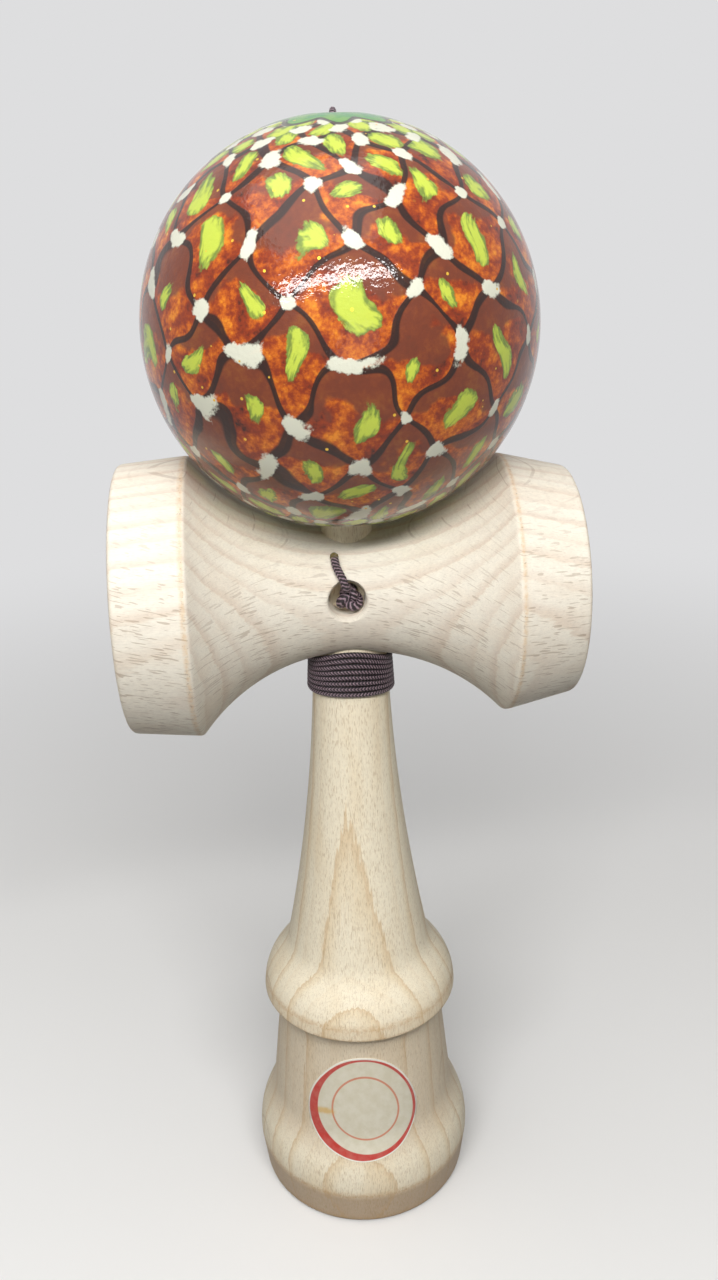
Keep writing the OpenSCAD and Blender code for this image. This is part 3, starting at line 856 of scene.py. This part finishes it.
def ball_lacquer(look):
    """Lacquered ball: a diamond trellis on stained amber, an oval dab in each diamond, a dot on each
    crossing and a green cap. Two families of slanting lines are whole numbers of p and q, sums of the turn
    round the ball and its stretched height, so that a diamond keeps its shape towards the poles."""
    round_count, height_count, radius, polar, wander = 13, 1.9, BALL_R / MM, 0.995, 0.28
    lean_most, shift_most, dab_half_x, dab_half_y, thick = 0.7, 0.9, 1.9, 2.9, 0.95
    cap_z, cap_edge, scallops, scallop_depth = 0.950, 0.003, 9.0, 0.012
    per_turn = round_count / (2 * math.pi)
    slope = math.hypot(per_turn, height_count)
    n = Finish("ball_lacquer")
    place = n.place()
    x, y, z = n.split(n.vector("NORMALIZE", n.vector("SUBTRACT", place, (0, 0, BALL_C / MM))))
    wobble = n.noise(place, 0.13, 0) - 0.5
    wobble_up = n.noise(n.vector("ADD", place, (71, 13, 37)), 0.13, 0) - 0.5
    turn = wobble * wander + n.math("ARCTAN2", x, y * -1.0)
    flat = n.math("MINIMUM", n.most(z, -polar), polar)
    stretched = n.math("LOGARITHM", (flat + 1.0) / (1.0 - flat), math.e) * 0.5
    stretched = wobble_up * wander + stretched
    scale = n.math("SQRT", 1.0 - flat * flat) * radius
    across = turn * per_turn
    p, q = (stretched * count + across for count in (height_count, -height_count))
    cell = [n.math("FLOOR", part) % round_count for part in (p, q)]
    a, b = (n.math("FRACT", part) - 0.5 for part in (p, q))
    line_gap = (0.5 - n.most(abs(a), abs(b))) / slope * scale
    dot_gap = n.size(n.join(abs(a) - 0.5, abs(b) - 0.5)) / slope * scale
    sideways = (a + b) * (math.pi / round_count) * scale
    upwards = (a - b) * (0.5 / height_count) * scale
    lean, shift_x, shift_y, seed = (n.chance(n.join(*cell, float(k))) for k in range(4))
    lean = lean * (2 * lean_most) - lean_most
    shift_x, shift_y = (shift * (2 * shift_most) - shift_most for shift in (shift_x, shift_y))

    stain = n.noise(place, 0.30, 3, 0.6)
    grainy = n.noise(place, 1.3, 3, 0.7)
    tone = grainy * 0.4 + stain * 0.8
    shelf = (n.noise(place, 0.22) - 0.5) * 9.0 + upwards

    cos, sin = (n.math(kind, lean) for kind in ("COSINE", "SINE"))
    dab_x, dab_y = sin * upwards + cos * sideways, cos * upwards - sin * sideways
    oval = n.size(n.join((dab_x + shift_x) / dab_half_x, (dab_y + shift_y) / dab_half_y))
    bristle = n.noise(place, 0.75, 3, 0.65) - 0.5
    stroke = n.noise(n.join(dab_x * 1.5, dab_y * 0.5, seed * 40.0), 1.0, 2, 0.6)
    ragged = bristle * 0.6 + (stroke * 0.4 + oval)
    dab = n.fall(ragged, 0.98, 1.12)
    dab_tone = n.mix(n.step(stroke * 0.9 + ragged * 0.7, 0.85, 1.2), look.lime, look.moss)
    dot = n.fall(bristle * 2.0 + dot_gap, 1.15, 1.6)
    line_half = n.noise(place, 0.25, 1) * 0.5 + 0.28
    line = n.fall(line_gap - line_half, -0.14, 0.14)

    scallop = n.math("COSINE", turn * scallops) * scallop_depth + z
    cap = n.step(scallop, cap_z, cap_z + cap_edge)
    rim = n.fall(abs(scallop - cap_z), 0.004, 0.008)
    cap_tone = n.mix(n.step(stain, 0.35, 0.65), look.green, look.lime)
    speck = n.add("ShaderNodeTexVoronoi", {"Vector": place, "Scale": 0.55, "Randomness": 1.0})
    chosen = n.step(n.split(Signal(n, speck["Color"]))[0], 0.78, 0.80)
    glint = n.fall(Signal(n, speck["Distance"]), 0.10, 0.14) * chosen

    paint = n.coats(look.line,
                    (n.step(tone, 0.36, 0.56), look.rust),
                    (n.step(tone, 0.54, 0.68), look.amber),
                    (n.step(tone, 0.64, 0.80, 0.0, 0.85), look.glow),
                    (n.step(shelf, 0.2, 1.3, 0.0, 0.88), look.umber),
                    (line * thick, look.line),
                    (dab * thick, dab_tone),
                    (dot * thick, look.cream),
                    (cap, n.mix(0.25, look.green, cap_tone)),
                    (rim * 0.9, look.line),
                    (glint, look.gold))
    raised = n.most(line, dab, dot) * 0.5 + grainy
    peel = n.noise(place, 1.7) * 0.6 + n.noise(place, 0.35, 1)
    return n.shader({"Base Color": paint, "Roughness": 0.45, "Specular IOR Level": 0.12,
                     "Metallic": glint * 0.6, "Normal": n.bump(raised, 0.00012, 0.6), "Coat Weight": 0.9,
                     "Coat Roughness": 0.04, "Coat IOR": 1.42, "Coat Normal": n.bump(peel, 0.00012, 0.6)})


def bead_wood(look):
    """Bead: small stained wooden bead with fine rings and a satin coat."""
    n = Finish("bead_wood")
    x, y, z = n.split(n.place())
    bands = n.noise(n.join(x * 2.2, y * 0.5, z * 2.2), 1.0, 3)
    tone = n.mix(n.step(bands, 0.3, 0.7), look.umber, look.amber)
    return n.shader({"Base Color": tone, "Roughness": 0.4, "Normal": n.bump(bands, 0.00004),
                     "Coat Weight": 0.3, "Coat Roughness": 0.2})


def braid(look):
    """Braided string on its own map, u in millimetres along it and v round it: strands slant left and right
    in turn, the strand on top catches the light, and painted shade darkens the winding between its turns."""
    strands, threads = 4, 4
    n = Finish("braided_string")
    u, v = n.surface()
    beat = u / (look.braid_step / MM)
    side = n.step(n.math("SINE", v * (strands * math.pi)), -0.3, 0.3)
    left, right = n.wave(v * strands + beat), n.wave(v * -strands + beat)
    strand = n.out("ShaderNodeMix", {0: side, 2: left, 3: right}, data_type="FLOAT")
    fuzz = n.noise(n.join(u * 3.0, v * 9.0), 2.0, 3, 0.7)
    weave = n.wave(beat) * n.wave(v * strands) * 0.5 + strand
    shine = fuzz * 0.7 + weave * 0.4
    melt = n.attribute("melt")
    tone = n.coats(look.dark,
                   (n.step(shine, 0.34, 0.84), look.light),
                   # Painted shade between the turns of the winding, where they face in towards the handle.
                   (n.step(n.attribute("gap_shade_facing"), 0.42, 0.92, 0.94, 0.0), look.gap),
                   (melt, look.melt))
    height = n.wave((strand * 0.5 + beat) * threads) * 0.3 + (strand + fuzz)
    return n.shader({"Base Color": tone, "Roughness": n.step(melt, 0.0, 1.0, 0.5, 0.12),
                     "Specular IOR Level": 0.45, "Sheen Weight": 0.1, "Sheen Roughness": 0.4,
                     "Sheen Tint": look.light, "Normal": n.bump(height, 0.00005, 0.7)})


def label_paper(look):
    """Label on its own map, in label radii from its centre: a field, an off-centre border, a thin ring and
    a white cut edge, with a smear and faint paper fibre."""
    off_u, off_v, ring_r, border_r, border_edge = 0.05, 0.075, 0.61, 0.875, 0.015
    n = Finish("label_paper")
    u, v = n.surface()
    spot = n.join(u, v)
    mottle = n.noise(spot, 5.0, 4, 0.6)
    inner = n.size(n.join(u - off_u, v - off_v))
    blot = n.size(n.join(u * 3.2 + 2.3, v * 11.0 - 0.2))
    ring = n.fall(abs(inner - ring_r), 0.012, 0.022)
    ink = n.step(mottle, 0.25, 0.7, 0.86, 1.0)
    border = n.step(inner, border_r, border_r + border_edge) * ink
    tone = n.coats(look.paper,
                   (n.step(mottle, 0.3, 0.7, 0.0, 0.35), look.cut),
                   (ring * 0.8, look.ring),
                   (n.step(mottle * 0.9 + blot, 0.7, 1.5, 0.7, 0.0), look.smear),
                   (border, look.border),
                   (n.step(n.attribute("rim"), 0.972, 0.984), look.cut))
    fibre = n.noise(spot, 60.0, 3, 0.6)
    return n.shader({"Base Color": tone, "Roughness": 0.42, "Specular IOR Level": 0.4,
                     "Normal": n.bump(fibre, 0.00003, 0.4), "Coat Weight": 0.15, "Coat Roughness": 0.25})


# Operators

class KENDAMA_OT_stage(bpy.types.Operator):
    """Camera at the photograph's place, pale floor that fades into the backdrop, and soft light"""

    bl_idname = "kendama.stage"
    bl_label = "Stage"

    def execute(self, context):
        look = context.scene.kendama.stage
        self.camera(look)
        self.floor(look)
        self.lamps()
        self.world(look)
        context.scene.view_settings.view_transform = "Standard"
        return {"FINISHED"}

    def posed(self, name, data, *columns):
        """Object of a camera or lamp from its three axes and its place, the columns of its matrix."""
        made = bpy.data.objects.new(name, data)
        axes = np.eye(4)
        axes[:3] = np.stack(columns, 1)
        made.matrix_world = Matrix(axes.tolist())
        bpy.context.scene.collection.objects.link(made)
        return made

    def camera(self, look):
        """Camera whose axes come from its yaw, pitch and roll."""
        ahead = np.array([math.sin(look.yaw) * math.cos(look.pitch),
                          math.cos(look.yaw) * math.cos(look.pitch), -math.sin(look.pitch)])
        level = np.array([math.cos(look.yaw), -math.sin(look.yaw), 0])
        upright = np.cross(level, ahead)
        right = math.cos(look.roll) * level + math.sin(look.roll) * upright
        up = math.cos(look.roll) * upright - math.sin(look.roll) * level
        data = bpy.data.cameras.new("camera")
        data.lens = look.lens
        data.clip_start = 0.01
        bpy.context.scene.camera = self.posed("camera", data, right, up, -ahead, np.array(look.eye))

    def floor(self, look):
        """Round floor: a disc of rings and spokes just under the foot."""
        reach, rings, spokes, under = 6.0, 24, 64, 0.0002
        fade_from, fade_to = 60.0, 420.0
        radius = reach * np.linspace(0, 1, rings + 1)[1:] ** 2
        outline = np.stack([radius, np.full(rings, -under)], 1)
        points = np.concatenate([turned(outline, spokes), [[0, 0, -under]]])
        faces = [grid_faces(rings, spokes)[:, ::-1], fan_faces(rings * spokes, 0, spokes, True)]
        made = new_piece("floor", points, faces)
        n = Finish("pale_floor")
        seen = n.seen()
        fade = n.step(n.size(n.place()), fade_from, fade_to) * seen
        matt = n.out("ShaderNodeBsdfDiffuse", {"Color": n.mix(seen, look.floor_bounce, look.floor)})
        glow = n.out("ShaderNodeEmission", {"Color": look.backdrop, "Strength": 1.0})
        shown = n.out("ShaderNodeMixShader", {0: fade, 1: matt, 2: glow})
        n.add("ShaderNodeOutputMaterial", {"Surface": shown})
        made.data.materials.append(n.owner)

    def lamps(self):
        """Window strip in front and above, broad soft light overhead, faint low light from the front."""
        target, nearly_y = np.array([0, 0, AXIS_Z]), [0, 1, 0.001]
        for name, place, size, power in LAMPS:
            data = bpy.data.lights.new(name, "AREA")
            data.shape = "RECTANGLE"
            data.size, data.size_y = size
            data.energy = power
            back = np.array(place) - target
            back /= np.linalg.norm(back)
            side = np.cross(nearly_y, back)
            side /= np.linalg.norm(side)
            self.posed(name, data, side, np.cross(back, side), back, np.array(place))

    def world(self, look):
        """Even light from all round, and the backdrop's own colour where it is seen or mirrored."""
        warm_white = (1.0, 0.99, 0.975)
        n = Finish("studio", "worlds")
        light = n.out("ShaderNodeBackground", {"Color": warm_white, "Strength": look.ambient})
        backdrop = n.out("ShaderNodeBackground", {"Color": look.backdrop, "Strength": 1.0})
        shown = n.out("ShaderNodeMixShader", {0: n.seen(), 1: light, 2: backdrop})
        n.add("ShaderNodeOutputWorld", {"Surface": shown})
        bpy.context.scene.world = n.owner


class KENDAMA_OT_string(bpy.types.Operator):
    """String: knot and winding on the handle, slack behind it, and the run over the ball to the end knot"""

    bl_idname = "kendama.string"
    bl_label = "String"

    def execute(self, context):
        kendama, clear = context.scene.kendama, 0.06 * MM
        self.look = kendama.string
        self.material = braid(self.look)
        self.string_z = AXIS_Z + kendama.cups.string_rise
        self.run_r = BALL_R + self.look.run_d / 2 + clear
        turns = winding(self.look, kendama.handle, kendama.cups)
        self.front(turns)
        self.slack(turns[-1])
        self.over_ball()
        return {"FINISHED"}

    def front(self, turns):
        """Fused tip, tail, stop knot in the front hole, lead through the handle, and the winding. The tip
        is a bead, the knot swells, and behind it the string thins from its slack to its wound width."""
        melt_len, bead_r, bead_least, tip_len = 1.15 * MM, 0.68 * MM, 0.02 * MM, 0.4 * MM
        slack_len, thin_len, wound_len = 40 * MM, 10 * MM, 4 * MM
        lobe, depth, swell = 0.52 * MM, 0.66 * MM, 1.3
        tail, lead = np.array(TAIL) * MM, np.array(LEAD) * MM
        knot = overhand(np.array([-0.3, -7.7, self.string_z / MM - 0.3]) * MM, lobe, depth)
        route = smooth_route(np.concatenate([tail, knot, lead, turns]), self.look.ring_step)
        place = along(route)
        before, within = along(tail)[-1], along(knot)[-1]
        middle = (place - before - within / 2) / (within / 2)
        knotted = 1 + (swell - 1) * np.clip(1.1 - middle ** 4, 0, 1)
        bead = np.sqrt(np.clip(bead_r ** 2 - (place - bead_r) ** 2, bead_least ** 2, None))
        tip = np.clip((place - 0.9 * bead_r) / tip_len, 0, 1)
        ease = np.clip((place - slack_len) / thin_len, 0, 1)
        taut = self.look.loose_d + (self.look.wound_d - self.look.loose_d) * ease
        radius = np.maximum(taut / 2 * knotted * tip, bead)
        wound = np.clip((place - (place[-1] - along(turns)[-1])) / wound_len, 0, 1)
        made = self.make("string_front", route, radius, np.exp(-(place / melt_len) ** 6), wound)
        finish_piece(made, self.material, "ken", "string",
                     "string_tail", "string_stop_knot", "string_lead", "string_winding")

    def slack(self, start):
        """Slack that hangs behind the handle from the winding's end and rises to the ball's back."""
        upright, blend_len, away = 5 * MM, 17.4 * MM, np.array([0, 1, -0.1])
        leave = start + np.array([-0.9, 0.03, -0.1]) * MM
        ends = np.array([[0, self.run_r, BALL_C - upright], [0, self.run_r, BALL_C]])
        points = np.concatenate([[start, leave], np.array(HANG) * MM, ends])
        route = smooth_route(points, self.look.ring_step)
        made = self.make("string_slack", route, self.look.cord_d / 2)
        finish_piece(made, self.material, None, "string", "string_riser")
        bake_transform(made)

    def over_ball(self):
        """Run over the back of the ball, into its top, through the bead and into the end knot."""
        lobe, depth, last_turn, turn_step = 0.46 * MM, 0.5 * MM, 84, 4
        turn = np.radians(np.arange(0, last_turn, turn_step))
        over = np.stack([0 * turn, self.run_r * np.cos(turn), BALL_C + self.run_r * np.sin(turn)], 1)
        y, z = np.array(INTO_BALL).T * MM
        inside = np.stack([0 * y, y, BALL_C + BALL_R + z], 1)
        knot_low, knot_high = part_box("string_end_knot")
        knot = overhand((knot_low + knot_high) / 2, lobe, depth)
        end = knot[-1] + np.array([[0.2, -0.5, 0.1], [0.5, -1.1, -0.3]]) * MM
        route = smooth_route(np.concatenate([over, inside, knot, end]), self.look.ring_step)
        made = self.make("string_over_ball", route, self.look.run_d / 2)
        finish_piece(made, self.material, "tether", "string", "string_ball_run", "string_end_knot")

    def make(self, name, route, radius, melt=0, wound=0):
        """Tube of the string, marked where it was fused and by how squarely its wound turns face away from
        the handle, for the painted shade between the turns.
        """
        sides, least = 20, 1e-12
        made = tube(name, route, radius, self.look.braid_step, sides)
        reach = read(made.data.vertices, "co")[:-2].reshape(len(route), sides, 3) - route[:, None]
        out = route * [1, 1, 0]
        sizes = np.linalg.norm(reach, axis=2) * np.linalg.norm(out, axis=1)[:, None]
        facing = (reach * out[:, None]).sum(2) / np.maximum(sizes, least)
        gap_shade_facing = np.maximum(facing, 1 - np.broadcast_to(wound, len(route))[:, None]).ravel()
        fused = np.repeat(np.broadcast_to(melt, len(route)), sides)
        for mark, values in (("melt", fused), ("gap_shade_facing", gap_shade_facing)):
            write_attribute(made.data, mark, np.concatenate([values, values[[0, -1]]]))
        return made


class KENDAMA_OT_handle(bpy.types.Operator):
    """Turned handle: foot with a shallow cup, neck, collar, tapered grip, seat and spike"""

    bl_idname = "kendama.handle"
    bl_label = "Handle"

    def execute(self, context):
        handle, cups = context.scene.kendama.handle, context.scene.kendama.cups
        rings, segments, rim_round, edge_reach = 250, 256, 0.8 * MM, 0.7 * MM
        rim_r = handle.foot_rim_d / 2
        outline = np.concatenate([
            bowl(rim_r - handle.foot_lip, handle.foot_bowl_depth),
            arc((rim_r - rim_round, rim_round), rim_round, -90, -10, 8),
            neck_outline(handle), grip_outline(handle, cups)])
        piece = new_piece("handle", *lathe(softened(outline, rings, handle.edge_ease), segments))
        cut(piece, [self.string_bore(handle, cups)])
        collar_top = handle.collar_z + handle.collar_h
        edges = np.array([[rim_r, rim_round], [handle.foot_d / 2, handle.foot_z],
                          [handle.collar_d / 2, handle.collar_z], [handle.collar_top_d / 2, collar_top]])
        bands = [((handle.collar_z + collar_top) / 2, handle.collar_h / 2, handle.grip_base_d / 2, 1.0),
                 (handle.foot_z / 2, handle.foot_z / 2, rim_r - handle.foot_lip / 2, 0.5)]
        mark_wood(piece.data, 2, 0, edges, edge_reach, HANDLE_PITH, bands)
        finish_piece(piece, handle_wood(handle), "ken", "beech", "ken")
        return {"FINISHED"}

    def string_bore(self, handle, cups):
        """Straight cutter along Y for the string's way through the handle."""
        sides, hole_r, reach = 48, handle.cross_hole_d / 2, handle.seat_low_d
        outline = np.array([[0, -reach], [hole_r, -reach], [hole_r, reach], [0, reach]])
        points, faces = lathe(outline, sides)
        return new_piece("string_bore", points[:, [1, 2, 0]] + [0, 0, AXIS_Z + cups.string_rise], faces)


class KENDAMA_OT_cups(bpy.types.Operator):
    """Cross-set piece with a large and a small cup, bored for the handle and drilled for the string"""

    bl_idname = "kendama.cups"
    bl_label = "Cup piece"

    def execute(self, context):
        handle, cups = context.scene.kendama.handle, context.scene.kendama.cups
        rings, segments, lip_round, land, edge_reach = 240, 256, 0.8 * MM, 0.5 * MM, 0.32 * MM
        big_r, small_r = cups.big_rim_d / 2, cups.small_rim_d / 2
        big_x, small_x = CROSS_HALF - cups.big_band, CROSS_HALF - cups.small_band
        big_shoulder = [cups.big_shoulder_d / 2, -big_x - land]
        small_shoulder = [cups.small_shoulder_d / 2, small_x + land]
        x = np.concatenate([np.linspace(-big_x, 0, 60), np.linspace(0, small_x, 60)[1:]])
        outline = np.concatenate([
            bowl(big_r - cups.big_lip, cups.big_bowl_depth) - [0, CROSS_HALF],
            arc((big_r - lip_round, lip_round - CROSS_HALF), lip_round, -90, 0, 8),
            [big_shoulder],
            np.stack([waist_at(x, cups), x], 1),
            [small_shoulder],
            arc((small_r - lip_round, CROSS_HALF - lip_round), lip_round, 0, 90, 8),
            [0, CROSS_HALF] + bowl(small_r - cups.small_lip, cups.small_bowl_depth)[::-1] * [1, -1]])
        points, faces = lathe(softened(outline, rings, cups.edge_ease), segments)
        piece = new_piece("cup_piece", points[:, [2, 0, 1]] + [0, 0, AXIS_Z], faces)
        cut(piece, [self.seat_bore(handle, cups), self.string_hole(cups)])
        edges = np.array([[big_r, -CROSS_HALF], big_shoulder, [small_r, CROSS_HALF], small_shoulder])
        mark_wood(piece.data, 0, AXIS_Z, edges, edge_reach, CUP_PITH)
        finish_piece(piece, cup_wood(cups), "ken", "beech_cross", "crosspiece")
        return {"FINISHED"}

    def seat_bore(self, handle, cups):
        """Tapered cutter that follows the handle's seat, a clearance wider."""
        sides, past = 96, 5 * MM
        reach = cups.waist_d / 2 + past
        z = np.array([AXIS_Z - reach, AXIS_Z + reach])
        low_r, high_r = seat_r(z, handle, cups) + cups.seat_clear
        outline = np.array([[0, z[0]], [low_r, z[0]], [high_r, z[1]], [0, z[1]]])
        return new_piece("seat_bore", *lathe(outline, sides))

    def string_hole(self, cups):
        """Cutter along Y with eased mouths: the ring of each mouth lies on the waist, where y squared is
        the waist's radius squared less z squared, and opens at half a right angle."""
        sides, ease, clear, past = 96, cups.hole_ease, 0.6 * MM, 14 * MM
        hole_r, ring = cups.string_hole_d / 2, circle(sides)
        x, z = ((hole_r + ease) * ring + [-cups.string_left, cups.string_rise]).T
        mouth = np.sqrt(waist_at(x, cups) ** 2 - z ** 2)
        rows = [np.stack([r * ring[:, 0], y, r * ring[:, 1]], 1)
                for r, y in ((hole_r + ease + clear, -(mouth + clear)), (hole_r, -(mouth - ease)),
                             (hole_r, mouth - ease), (hole_r + ease + clear, mouth + clear))]
        points = np.concatenate([*rows, [[0, -past, 0], [0, past, 0]]])
        points += [-cups.string_left, 0, AXIS_Z + cups.string_rise]
        return new_piece("string_hole", points, capped_faces(len(rows), sides, flip=True))


class KENDAMA_OT_label(bpy.types.Operator):
    """Thin round blank label on the front of the neck"""

    bl_idname = "kendama.label"
    bl_label = "Label"

    def execute(self, context):
        handle, look = context.scene.kendama.handle, context.scene.kendama.label
        rings, spokes, under = 20, 180, 0.03 * MM
        turn = angles(spokes)
        egg = 0.992 + 0.0385 * np.sin(turn) + 0.0197 * np.sin(2 * turn + 0.785)
        ragged = egg - 0.006 * np.cos(3 * turn + 0.6) - 0.004 * np.cos(7 * turn + 2.1)
        reach = np.linspace(0, 1, rings + 1)[1:]
        share = np.concatenate([reach, reach[::-1]])
        disc = share[:, None, None] * (ragged[:, None] * circle(spokes))[None]
        flat = np.concatenate([disc.reshape(-1, 2), [[0, 0], [0, 0]]])
        lift = np.concatenate([np.repeat([look.stand, under], rings * spokes), [look.stand, under]])
        faces = capped_faces(2 * rings, spokes, flip=True)
        corners = np.concatenate([f.ravel() for f in faces])
        piece = new_piece("label", self.on_neck(handle, look, flat, lift), faces, flat[corners])
        write_attribute(piece.data, "rim", np.concatenate([np.repeat(share, spokes), [0, 0]]))
        piece.data.set_sharp_from_angle(angle=math.radians(60))
        finish_piece(piece, label_paper(look), "ken", "label", "blank_label")
        return {"FINISHED"}

    def on_neck(self, handle, look, flat, lift):
        """Points (u, v) of the flat label laid round the neck: u across it and v up it, with a sag by u
        squared, a rise by v squared and a slant by u, each point lifted off the neck's radius."""
        sag, rise, slant = 1.6 * MM, 0.9 * MM, 0.3 * MM
        u, v = flat.T
        neck = neck_outline(handle)
        x = look.label_w / 2 * u
        z = look.label_z + look.label_h / 2 * v - sag * u * u + rise * v * v - slant * u
        y = -np.sqrt((np.interp(z, neck[:, 1], neck[:, 0]) + lift) ** 2 - x ** 2)
        cos, sin = math.cos(look.label_turn), math.sin(look.label_turn)
        return np.stack([x * cos - y * sin, x * sin + y * cos, z], 1)


class KENDAMA_OT_ball(bpy.types.Operator):
    """Lacquered ball with a tapered hole and a countersunk string hole, and the bead inside it"""

    bl_idname = "kendama.ball"
    bl_label = "Ball and bead"

    def execute(self, context):
        look = context.scene.kendama.ball
        self.ball(look)
        self.bead(look)
        return {"FINISHED"}

    def ball(self, look):
        """Closed outline: string hole, countersink, sphere, bevelled mouth, tapered hole with a flat end."""
        rings, segments = 280, 256
        top = BALL_C + BALL_R
        mouth_r, end_r = look.mouth_d / 2, look.hole_end_d / 2
        hole_r, sink_r = look.string_hole_d / 2, look.countersink_d / 2
        low = BALL_C - math.sqrt(BALL_R ** 2 - mouth_r ** 2)
        hole_end = low + look.hole_depth
        first = math.degrees(math.acos(sink_r / BALL_R))
        last = math.degrees(math.acos((mouth_r + look.mouth_bevel) / BALL_R))
        middle = (hole_end + top) / 2
        taper = (end_r - mouth_r) / (hole_end - low)
        outline = np.concatenate([
            [[hole_r, middle], [hole_r, top - (sink_r - hole_r)]],
            arc((0, BALL_C), BALL_R, first, -last, 160),
            [[mouth_r + taper * look.mouth_bevel, low + look.mouth_bevel], [end_r, hole_end],
             [hole_r, hole_end], [hole_r, middle]]])
        eased = softened(outline, rings, look.edge_ease)[:-1]
        piece = new_piece("ball", *turned_ring(eased[::-1], segments))
        finish_piece(piece, ball_lacquer(look), "ball", "ball_lacquer", "ball")

    def bead(self, look):
        """Closed outline: sphere from hole edge to hole edge and back along the hole."""
        rings, segments = 90, 96
        low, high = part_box("bead")
        radius, centre, hole_r = (high.x - low.x) / 2, (low.z + high.z) / 2, look.bead_hole_d / 2
        swing = math.degrees(math.acos(hole_r / radius))
        inside = [[hole_r, centre]]
        outline = np.concatenate([inside, arc((0, centre), radius, -swing, swing, 60), inside])
        eased = softened(outline, rings, look.edge_ease)[:-1]
        piece = new_piece("bead", *turned_ring(eased, segments))
        finish_piece(piece, bead_wood(look), "tether", "bead", "bead")


class KENDAMA_PT_parts(bpy.types.Panel):
    """Sidebar list of the kendama's pieces"""

    bl_idname = "KENDAMA_PT_parts"
    bl_label = "Kendama"
    bl_space_type = "VIEW_3D"
    bl_region_type = "UI"
    bl_category = "Kendama"

    def draw(self, context):
        for operator in OPERATORS:
            self.layout.operator(operator.bl_idname)


OPERATORS = (KENDAMA_OT_stage, KENDAMA_OT_string, KENDAMA_OT_handle, KENDAMA_OT_cups, KENDAMA_OT_label,
             KENDAMA_OT_ball)
CLASSES = (HandleProps, CupProps, BallProps, StringProps, LabelProps, StageProps, KendamaProps, *OPERATORS,
           KENDAMA_PT_parts)


def register():
    """Registers the settings, the operators and the panel."""
    for made in CLASSES:
        bpy.utils.register_class(made)
    bpy.types.Scene.kendama = group(KendamaProps, "Kendama", "Settings of the kendama")


def unregister():
    """Removes what register added."""
    del bpy.types.Scene.kendama
    for made in reversed(CLASSES):
        bpy.utils.unregister_class(made)


def main():
    """Makes every piece in order."""
    register()
    bpy.ops.kendama.stage()
    bpy.ops.kendama.string()
    bpy.ops.kendama.handle()
    bpy.ops.kendama.cups()
    bpy.ops.kendama.label()
    bpy.ops.kendama.ball()


if __name__ == "__main__":
    main()
